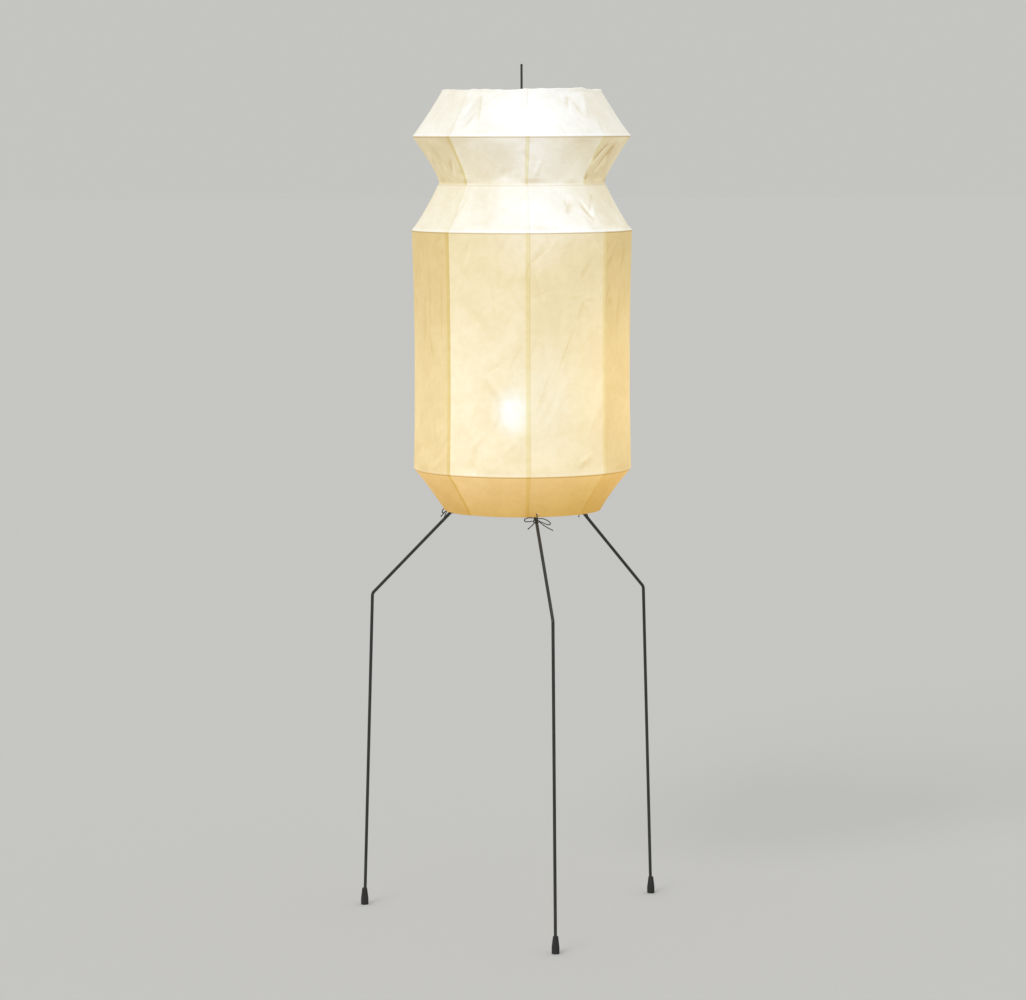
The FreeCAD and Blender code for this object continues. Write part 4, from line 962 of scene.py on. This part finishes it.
# %% [markdown]
# ## Glass and the glowing filament
#
# The bulbs are frosted inside, so their glass reads as one soft, bright skin that is warmer near
# the neck. The stem is clear glass, the insulator round the tip is black glass, and the filament
# glows.

# %% Bulb finishes
LAMPS = ("lower", "upper")
# Metres below the middle of the globe where the glow is at its warmest and at its brightest
WARMEST, BRIGHTEST = 0.062, 0.004


def make_frosted_glass(lamp):
    """Brightest at the globe, and warmer and dimmer down the neck."""
    material, tree, shader = new_material(f"frosted_glass_{lamp}")
    place = object_place(tree)
    split = add_node(tree, "ShaderNodeSeparateXYZ")
    tree.links.new(place, split.inputs["Vector"])
    middle = globe_middle(lamp)
    up_globe = soft_step(tree, split.outputs["Z"], middle.z - WARMEST, middle.z - BRIGHTEST)
    frost = noise_at(tree, place, 900.0, detail=4.0, roughness=0.7)
    glow = blend_colors(tree, up_globe, (0.52, 0.34, 0.15), (0.99, 0.84, 0.58))
    mottled = blend_colors(tree, calculate(tree, "MULTIPLY", frost, 0.12), glow, (0.90, 0.66, 0.36))
    feed(tree, shader.inputs["Base Color"], blend_colors(tree, frost, (0.80, 0.78, 0.72), (0.90, 0.89, 0.85)))
    feed(tree, shader.inputs["Emission Color"], mottled)
    shader.inputs["Emission Strength"].default_value = 0.9
    feed(tree, shader.inputs["Roughness"], blend_values(tree, frost, 0.22, 0.40))
    add_bump(tree, shader, frost, 0.02 * MM, 0.4)
    return material


def make_stem_glass():
    material, tree, shader = new_material("stem_glass")
    streaks = noise_at(tree, object_place(tree), 300.0, detail=3.0)
    clear = blend_colors(tree, streaks, (0.84, 0.90, 0.88), (0.95, 0.98, 0.97))
    feed(tree, shader.inputs["Base Color"], clear)
    feed(tree, shader.inputs["Roughness"], blend_values(tree, streaks, 0.02, 0.10))
    shader.inputs["Transmission Weight"].default_value = 0.9
    shader.inputs["IOR"].default_value = 1.5
    return material


def make_black_glass():
    material, tree, shader = new_material("black_glass")
    finish = place_group(tree, uneven_finish, dark=(0.010, 0.010, 0.014), light=(0.030, 0.028, 0.034),
                         smooth=0.08, rough=0.20, patches=200.0, grain=1600.0)
    feed(tree, shader.inputs["Base Color"], finish["Color"])
    feed(tree, shader.inputs["Roughness"], finish["Roughness"])
    add_bump(tree, shader, finish["Relief"], 0.01 * MM, 0.5)
    return material


def make_tungsten():
    material, tree, shader = new_material("tungsten")
    hot = noise_at(tree, object_place(tree), 800.0, detail=2.0)
    feed(tree, shader.inputs["Base Color"], blend_colors(tree, hot, (0.20, 0.18, 0.16), (0.34, 0.32, 0.30)))
    feed(tree, shader.inputs["Emission Color"], blend_colors(tree, hot, (1.0, 0.62, 0.24), (1.0, 0.86, 0.55)))
    shader.inputs["Emission Strength"].default_value = 1.0
    feed(tree, shader.inputs["Roughness"], blend_values(tree, hot, 0.35, 0.55))
    return material


for lamp in LAMPS:
    finishes[f"frosted_glass_{lamp}"] = make_frosted_glass(lamp)
    print(lamp, "globe at", [round(c, 4) for c in globe_middle(lamp)])
finishes["stem_glass"] = make_stem_glass()
finishes["black_glass"] = make_black_glass()
finishes["tungsten"] = make_tungsten()


# %% [markdown]
# ## Cord
#
# The ties are matte black cotton. Fine fibres lie along each strand and stand out as slightly
# paler flecks.

# %% Cord finish
def make_cord_finish():
    material, tree, shader = new_material("cord")
    place = object_place(tree)
    fibres = noise_at(tree, place, 2600.0, detail=4.0, roughness=0.7)
    fade = noise_at(tree, place, 90.0, detail=2.0)
    flecks = soft_step(tree, fibres, 0.45, 0.72)
    faded = blend_colors(tree, fade, (0.010, 0.010, 0.011), (0.022, 0.021, 0.020))
    feed(tree, shader.inputs["Base Color"], blend_colors(tree, flecks, faded, (0.055, 0.052, 0.050)))
    feed(tree, shader.inputs["Roughness"], blend_values(tree, fibres, 0.78, 0.95))
    shader.inputs["Sheen Weight"].default_value = 0.15
    shader.inputs["Sheen Roughness"].default_value = 0.5
    add_bump(tree, shader, fibres, 0.12 * MM, 0.8)
    return material


finishes["cord"] = make_cord_finish()


# %% [markdown]
# ## Lit paper
#
# The paper is off-white, and most of what one sees of it is light that comes through, painted into
# the emission colour. That light is orange and dim at the foot, where it crosses the paper at a slant,
# yellow on the tall wall, and nearly white on the two bands that face up round the upper bulb. The
# base colour is a quiet cream, painted darker and more orange on the lower bands as shade. What stops
# light darkens both and turns them yellower: glued laps, wires, creases that face away from a bulb,
# and clouds in the pulp. Painted shade also darkens the strips towards the sides and a line along
# each crease, and a painted highlight lies just above each fold.

# %% Light through the paper
# From the lowest band up: the colour with the light on at the band's lower edge and at its upper
# edge, and the base colour, a cream painted darker and more orange on the lower bands as shade
BAND_COLORS = [
    ((0.76, 0.49, 0.15), (0.94, 0.64, 0.25), (0.36, 0.29, 0.16)),
    ((0.94, 0.80, 0.52), (0.88, 0.76, 0.49), (0.40, 0.37, 0.29)),
    ((0.92, 0.89, 0.79), (0.90, 0.85, 0.71), (0.47, 0.46, 0.42)),
    ((0.88, 0.80, 0.62), (0.89, 0.82, 0.66), (0.45, 0.43, 0.38)),
    ((0.89, 0.88, 0.83), (0.88, 0.86, 0.79), (0.50, 0.49, 0.46)),
]
LIT = 0.97  # how much of the base colour the stage's light brings back
LOWEST, HIGHEST = folds[0][1], folds[-1][1]
RAMP_GAP = 0.1 * MM  # from a fold to the ramp's stops below and above it

# Azimuth, height, reach in m and added colour: where a bulb shows through the paper
BRIGHT_SPOTS = [
    (-6.0, 1.150, 0.052, (0.05, 0.16, 0.36)), (-6.0, 1.170, 0.260, (0.04, 0.06, 0.08)),
    (186.7, 1.150, 0.052, (0.05, 0.13, 0.30)), (186.7, 1.140, 0.190, (0.03, 0.05, 0.10)),
    (-62.0, 1.150, 0.260, (0.10, 0.11, 0.12)), (68.0, 1.210, 0.240, (0.20, 0.15, 0.09)),
    (10.0, 1.170, 0.120, (0.01, 0.04, 0.07)), (120.0, 1.150, 0.260, (0.12, 0.11, 0.09)),
    (-120.0, 1.150, 0.260, (0.12, 0.11, 0.09)), (34.0, 1.590, 0.110, (0.03, 0.05, 0.09)),
    (6.0, 1.580, 0.130, (0.07, 0.11, 0.20)), (4.0, 1.790, 0.150, (0.09, 0.12, 0.20)),
    (176.0, 1.580, 0.120, (0.05, 0.08, 0.14)), (176.0, 1.790, 0.140, (0.07, 0.09, 0.14)),
]
SPOT_SQUASH = 0.75  # a spot's width as a share of its height
SPOT_CORE = 0.12  # the evenly bright middle, as a share of the spot's reach
TURN_SHOWS = 4.0  # how strongly a crease that turns to or from a bulb changes the light
DARKEST_TURN, BRIGHTEST_TURN = 0.72, 1.12
# From the lowest fold between two bands up: strengths of its painted shadow and of its painted highlight
FOLD_LINES = [(0.8, 0.6), (0.9, 0.6), (0.35, 0.0), (0.8, 0.5)]
# How far below a fold its painted shadow lies, how far above it the painted highlight lies, and half their
# widths
SHADOW_BELOW, SHADOW_HALF_WIDTH = 1.8 * MM, 1.9 * MM
HIGHLIGHT_ABOVE, HIGHLIGHT_HALF_WIDTH = 2.6 * MM, 3.4 * MM


def color_ramp(tree, share, stops):
    node = add_node(tree, "ShaderNodeValToRGB")
    feed(tree, node.inputs["Fac"], share)
    elements = node.color_ramp.elements
    elements[0].position = stops[0][0]
    elements[1].position = stops[-1][0]
    for position, color in stops[1:-1]:
        elements.new(position)
    for element, (position, color) in zip(elements, stops):
        element.color = (*color, 1.0)
    return node.outputs["Color"]


def paper_radius_at(height):
    """The radius of the shade at a height, along the straight line between two folds."""
    band, share = band_at(height)
    return folds[band][0] * (1.0 - share) + folds[band + 1][0] * share


def line_at(tree, height, level, half_width):
    """1 on a level line round the shade, falling to 0 at half the line's width."""
    distance = calculate(tree, "ABSOLUTE", calculate(tree, "SUBTRACT", height, level))
    return soft_step(tree, distance, half_width, 0.3 * half_width)


def make_fold_lines():
    """The thin painted shadow that each wire draws just below it, and a painted highlight just above it."""
    tree, given, out = new_group("fold lines", {"Height": "Float"}, {"Shadow": "Float", "Highlight": "Float"})
    shadow = 0.0
    pale = 0.0
    for (_, level), (shadow_strength, highlight_strength) in zip(folds[1:-1], FOLD_LINES):
        line = line_at(tree, given["Height"], level - SHADOW_BELOW, SHADOW_HALF_WIDTH)
        shadow = calculate(tree, "MULTIPLY_ADD", line, shadow_strength, shadow)
        line = line_at(tree, given["Height"], level + HIGHLIGHT_ABOVE, HIGHLIGHT_HALF_WIDTH)
        pale = calculate(tree, "MULTIPLY_ADD", line, highlight_strength, pale)
    feed(tree, out["Shadow"], shadow)
    feed(tree, out["Highlight"], pale)
    return tree


def make_pulp():
    """The paper's own texture: cloudy pulp and long fibres."""
    tree, _, out = new_group("paper pulp", {}, {"Clouds": "Float", "Fibres": "Float"})
    place = object_place(tree)
    clouds = noise_at(tree, place, 16.0, detail=5.0, roughness=0.62, distortion=0.4)
    fine_clouds = noise_at(tree, place, 70.0, detail=4.0, roughness=0.6)
    stretched = add_node(tree, "ShaderNodeMapping")
    stretched.inputs["Scale"].default_value = (1.0, 1.0, 0.16)
    tree.links.new(place, stretched.inputs["Vector"])
    upright = noise_at(tree, stretched.outputs["Vector"], 900.0, detail=3.0, roughness=0.7, distortion=1.2)
    tangled = noise_at(tree, place, 520.0, detail=4.0, roughness=0.75, distortion=1.8)
    clouds = calculate(tree, "MULTIPLY_ADD", fine_clouds, 0.4, calculate(tree, "MULTIPLY", clouds, 0.6))
    fibres = calculate(tree, "MULTIPLY_ADD", tangled, 0.5, calculate(tree, "MULTIPLY", upright, 0.5))
    feed(tree, out["Clouds"], clouds)
    feed(tree, out["Fibres"], fibres)
    return tree


def make_bright_spots():
    """The light that the bulbs add where they show through the paper."""
    tree, _, out = new_group("bright spots", {}, {"Color": "Color"})
    place = object_place(tree)
    total = (0.0, 0.0, 0.0)
    for azimuth, height, reach, color in BRIGHT_SPOTS:
        middle = outwards(azimuth) * paper_radius_at(height) + Vector((0.0, 0.0, height))
        apart = add_node(tree, "ShaderNodeVectorMath", operation="SUBTRACT")
        tree.links.new(place, apart.inputs[0])
        apart.inputs[1].default_value = middle
        squashed = add_node(tree, "ShaderNodeVectorMath", operation="MULTIPLY")
        tree.links.new(apart.outputs["Vector"], squashed.inputs[0])
        squashed.inputs[1].default_value = (1.0, 1.0, SPOT_SQUASH)
        length = add_node(tree, "ShaderNodeVectorMath", operation="LENGTH")
        tree.links.new(squashed.outputs["Vector"], length.inputs[0])
        share = soft_step(tree, length.outputs["Value"], reach, SPOT_CORE * reach)
        total = blend_colors(tree, 1.0, total, blend_colors(tree, share, (0.0, 0.0, 0.0), color), "ADD")
    feed(tree, out["Color"], total)
    return tree


fold_lines = make_fold_lines()
pulp = make_pulp()
bright_spots = make_bright_spots()


def height_and_share(tree):
    """The height of a place, and its share of the way from the lowest fold to the highest."""
    split = add_node(tree, "ShaderNodeSeparateXYZ")
    tree.links.new(object_place(tree), split.inputs["Vector"])
    node = add_node(tree, "ShaderNodeMapRange")
    tree.links.new(split.outputs["Z"], node.inputs["Value"])
    node.inputs["From Min"].default_value = LOWEST
    node.inputs["From Max"].default_value = HIGHEST
    return split.outputs["Z"], node.outputs["Result"]


def stops_by_band(colors):
    """Stops of a colour ramp that gives each band its own two colours and changes at the folds."""
    stops = []
    for (_, low), (_, high), (low_color, high_color) in zip(folds, folds[1:], colors):
        stops.append(((low + RAMP_GAP - LOWEST) / (HIGHEST - LOWEST), low_color))
        stops.append(((high - RAMP_GAP - LOWEST) / (HIGHEST - LOWEST), high_color))
    return stops


def read_attribute(tree, name):
    return add_node(tree, "ShaderNodeAttribute", attribute_name=name).outputs["Fac"]


def lap_mask(tree):
    """1 where a strip lies over its neighbour, from the strip's own map."""
    source = add_node(tree, "ShaderNodeUVMap", uv_map="strip_map")
    split = add_node(tree, "ShaderNodeSeparateXYZ")
    tree.links.new(source.outputs["UV"], split.inputs["Vector"])
    lap = STRIP_PITCH / STRIP_ANGLE
    return soft_step(tree, split.outputs["X"], lap - 0.003, lap + 0.001)


def tint(tree, color, share, factor):
    """Multiplies a colour by a factor, by as much as the share says."""
    return blend_colors(tree, share, color, blend_colors(tree, 1.0, color, factor, "MULTIPLY"))


def power_color(tree, value, powers):
    """A grey value raised to three powers, so that a dark place also turns yellow."""
    joined = add_node(tree, "ShaderNodeCombineColor")
    for channel, power in zip(joined.inputs, powers):
        feed(tree, channel, calculate(tree, "POWER", value, power))
    return joined.outputs["Color"]


def make_paper_pattern():
    """How much of each colour a place lets through, from its pulp, creases, laps, folds and strip."""
    tree, given, out = new_group("paper pattern", {"Height": "Float"}, {"Color": "Color", "Relief": "Float"})
    texture = place_group(tree, pulp)
    clouds = soft_step(tree, texture["Clouds"], 0.36, 0.64)
    fibres = soft_step(tree, texture["Fibres"], 0.38, 0.66)
    pattern = blend_colors(tree, clouds, (0.965, 0.95, 0.905), (1.02, 1.03, 1.05))
    pattern = tint(tree, pattern, calculate(tree, "MULTIPLY", fibres, 0.3), (0.93, 0.91, 0.84))
    # painted shade: a darker, yellower line along each crease
    pattern = tint(tree, pattern, read_attribute(tree, "crease"), (0.90, 0.85, 0.70))
    seam = calculate(tree, "MULTIPLY", lap_mask(tree), read_attribute(tree, "seam"))
    pattern = tint(tree, pattern, seam, (0.93, 0.90, 0.70))
    lines = place_group(tree, fold_lines, height=given["Height"])
    broken = soft_step(tree, texture["Clouds"], 0.30, 0.60)
    shadow = calculate(tree, "MULTIPLY", lines["Shadow"], blend_values(tree, broken, 0.55, 1.0))
    pattern = tint(tree, pattern, shadow, (0.66, 0.57, 0.38))
    # painted highlight just above each fold
    pattern = tint(tree, pattern, lines["Highlight"], (1.03, 1.08, 1.26))
    # painted shade: the strips towards the sides darker and yellower
    pattern = blend_colors(tree, 1.0, pattern,
                           power_color(tree, read_attribute(tree, "side_shade"), (0.55, 1.0, 2.2)), "MULTIPLY")
    turned = calculate(tree, "MULTIPLY_ADD", read_attribute(tree, "turned"), TURN_SHOWS, 1.0)
    turned = calculate(tree, "MINIMUM", calculate(tree, "MAXIMUM", turned, DARKEST_TURN), BRIGHTEST_TURN)
    pattern = blend_colors(tree, 1.0, pattern, power_color(tree, turned, (0.7, 1.0, 1.5)), "MULTIPLY")
    feed(tree, out["Color"], pattern)
    feed(tree, out["Relief"], calculate(tree, "MULTIPLY_ADD", texture["Clouds"], 2.0, texture["Fibres"]))
    return tree


def make_lit_paper():
    material, tree, shader = new_material("lit_paper")
    height, share = height_and_share(tree)
    pattern = place_group(tree, paper_pattern, height=height)
    glows = []
    for low_color, high_color, paper_and_shade_color in BAND_COLORS:
        glows.append([[lit - own * LIT for lit, own in zip(color, paper_and_shade_color)]
                      for color in (low_color, high_color)])
    glow = color_ramp(tree, share, stops_by_band(glows))
    glow = blend_colors(tree, 1.0, glow, place_group(tree, bright_spots)["Color"], "ADD")
    glow = blend_colors(tree, 1.0, glow, pattern["Color"], "MULTIPLY")
    paper_and_shade_colors = [(paper_and_shade_color, paper_and_shade_color) for low_color, high_color, paper_and_shade_color in BAND_COLORS]
    base = color_ramp(tree, share, stops_by_band(paper_and_shade_colors))
    base = blend_colors(tree, 1.0, base, pattern["Color"], "MULTIPLY")
    feed(tree, shader.inputs["Base Color"], base)
    feed(tree, shader.inputs["Emission Color"], glow)
    shader.inputs["Emission Strength"].default_value = 1.0
    feed(tree, shader.inputs["Roughness"], blend_values(tree, pattern["Relief"], 0.62, 0.86))
    shader.inputs["Specular IOR Level"].default_value = 0.3
    add_bump(tree, shader, pattern["Relief"], 0.14 * MM, 0.6)
    return material


def make_inner_paper():
    """The inside, which the bulbs shine on directly."""
    material, tree, shader = new_material("inner_paper")
    share = height_and_share(tree)[1]
    texture = place_group(tree, pulp)
    glow = color_ramp(tree, share, [(0.0, (0.52, 0.36, 0.14)), (0.25, (0.60, 0.50, 0.30)),
                                    (0.72, (0.58, 0.50, 0.34)), (1.0, (0.50, 0.46, 0.36))])
    clouds = soft_step(tree, texture["Clouds"], 0.36, 0.64)
    glow = blend_colors(tree, 1.0, glow, blend_colors(tree, clouds, (0.92, 0.90, 0.84), (1.04, 1.04, 1.05)),
                        "MULTIPLY")
    feed(tree, shader.inputs["Emission Color"], glow)
    shader.inputs["Emission Strength"].default_value = 1.0
    feed(tree, shader.inputs["Base Color"],
         blend_colors(tree, texture["Fibres"], (0.52, 0.48, 0.38), (0.62, 0.58, 0.48)))
    feed(tree, shader.inputs["Roughness"], blend_values(tree, texture["Fibres"], 0.70, 0.90))
    add_bump(tree, shader, texture["Fibres"], 0.10 * MM, 0.6)
    return material


paper_pattern = make_paper_pattern()
lit_paper = make_lit_paper()
inner_paper = make_inner_paper()
print("paper slots", [slot.name for slot in strips[0].material_slots])


# %% [markdown]
# ## A finish for every piece
#
# The new pieces and the nodes that stay as they are all get their finish here.

# %% Hand out the finishes
BULB_FINISHES = {"_bulb_stem": "stem_glass", "_bulb_filament": "tungsten", "_bulb_insulator": "black_glass",
                 "_bulb_cap": "cap_metal", "_bulb_tip": "solder"}
NODE_FINISHES = {
    "leg_hub": "black_paint", "centre_rod": "black_paint", "shade_collar": "black_paint",
    "grub_screws": "screw_steel", "holder_nipples": "plated_steel", "nipple_nuts": "plated_steel",
    "top_spider": "black_wire",
}
for hoop in PAPER_OVER_WIRE:
    NODE_FINISHES[hoop] = "black_wire"
for leg in LEG_AZIMUTHS:
    NODE_FINISHES[f"leg_{leg}"] = "black_paint"
    NODE_FINISHES[f"leg_screw_{leg}"] = "black_paint"
    NODE_FINISHES[f"foot_{leg}"] = "black_rubber"
for lamp in LAMPS:
    NODE_FINISHES[f"{lamp}_bracket"] = "black_paint"
    NODE_FINISHES[f"{lamp}_cord_grip"] = "black_plastic"
    NODE_FINISHES[f"{lamp}_holder_cap"] = "white_plastic"
    NODE_FINISHES[f"{lamp}_holder_shell"] = "white_plastic"
    NODE_FINISHES[f"{lamp}_holder_core"] = "porcelain"
    NODE_FINISHES[f"{lamp}_screw_shell"] = "brass"
    NODE_FINISHES[f"{lamp}_centre_contact"] = "brass"
    NODE_FINISHES[f"{lamp}_bulb_glass"] = f"frosted_glass_{lamp}"
    for ending, finish in BULB_FINISHES.items():
        NODE_FINISHES[lamp + ending] = finish


def paint(piece, material):
    piece.data.materials.clear()
    piece.data.materials.append(material)


for node, finish in NODE_FINISHES.items():
    paint(nodes[node], finishes[finish])
for tie in ties.values():
    paint(tie, finishes["cord"])
plain = [name for name in nodes if name not in NODE_FINISHES
         and not name.startswith(("paper_gore_", "tie_"))]
print(len(NODE_FINISHES), "nodes finished, left plain:", plain)


# %% [markdown]
# ## Floor and light
#
# The lamp stands on a plain pale floor that runs on out of sight. Most of the light is an even
# sky, which shows colours as they are written, and a large, soft sun from the front left gives
# form and a faint shadow. The background behind is set for camera rays alone, and so is what
# glossy faces mirror, so it adds no light.

# %% Stage
FLOOR_COLOR = (0.50, 0.50, 0.485)
BACKGROUND = (0.556, 0.556, 0.538)
SKY = 0.92
SUN = 1.1
SUN_PLACE = (-3.0, -5.0, 5.0)
SUN_DIRECTION = Vector((3.0, 5.2, -4.4))
SUN_WIDTH = math.radians(28.0)
FLOOR_SIZE = 160.0


def make_floor():
    clear_selection()
    bpy.ops.mesh.primitive_plane_add(size=FLOOR_SIZE)
    floor = bpy.context.object
    floor.name = "floor"
    material, tree, shader = new_material("floor")
    place = object_place(tree)
    speck = noise_at(tree, place, 60.0, detail=3.0)
    pale = blend_colors(tree, speck, [c * 0.99 for c in FLOOR_COLOR], [c * 1.01 for c in FLOOR_COLOR])
    feed(tree, shader.inputs["Base Color"], pale)
    shader.inputs["Roughness"].default_value = 0.9
    shader.inputs["Specular IOR Level"].default_value = 0.0
    paint(floor, material)


def make_sky():
    world = bpy.context.scene.world or bpy.data.worlds.new("sky")
    bpy.context.scene.world = world
    world.use_nodes = True
    tree = world.node_tree
    tree.nodes.clear()
    light = add_node(tree, "ShaderNodeBackground")
    light.inputs["Color"].default_value = (1.0, 1.0, 1.0, 1.0)
    light.inputs["Strength"].default_value = SKY
    seen = add_node(tree, "ShaderNodeBackground")
    seen.inputs["Color"].default_value = (*BACKGROUND, 1.0)
    rays = add_node(tree, "ShaderNodeLightPath")
    direct = calculate(tree, "MAXIMUM", rays.outputs["Is Camera Ray"], rays.outputs["Is Glossy Ray"])
    direct = calculate(tree, "MAXIMUM", direct, rays.outputs["Is Transmission Ray"])
    mix = add_node(tree, "ShaderNodeMixShader")
    tree.links.new(direct, mix.inputs["Fac"])
    tree.links.new(light.outputs["Background"], mix.inputs[1])
    tree.links.new(seen.outputs["Background"], mix.inputs[2])
    out = add_node(tree, "ShaderNodeOutputWorld")
    tree.links.new(mix.outputs["Shader"], out.inputs["Surface"])


def add_sun():
    bpy.ops.object.light_add(type="SUN", location=SUN_PLACE)
    sun = bpy.context.object
    sun.name = "soft_sun"
    sun.data.energy = SUN
    sun.data.angle = SUN_WIDTH
    sun.rotation_euler = SUN_DIRECTION.to_track_quat("-Z", "Y").to_euler()


make_floor()
make_sky()
add_sun()
bpy.context.scene.view_settings.view_transform = "Standard"


# %% [markdown]
# ## Finish
#
# Last, the selection is cleared.

# %% The end
clear_selection()
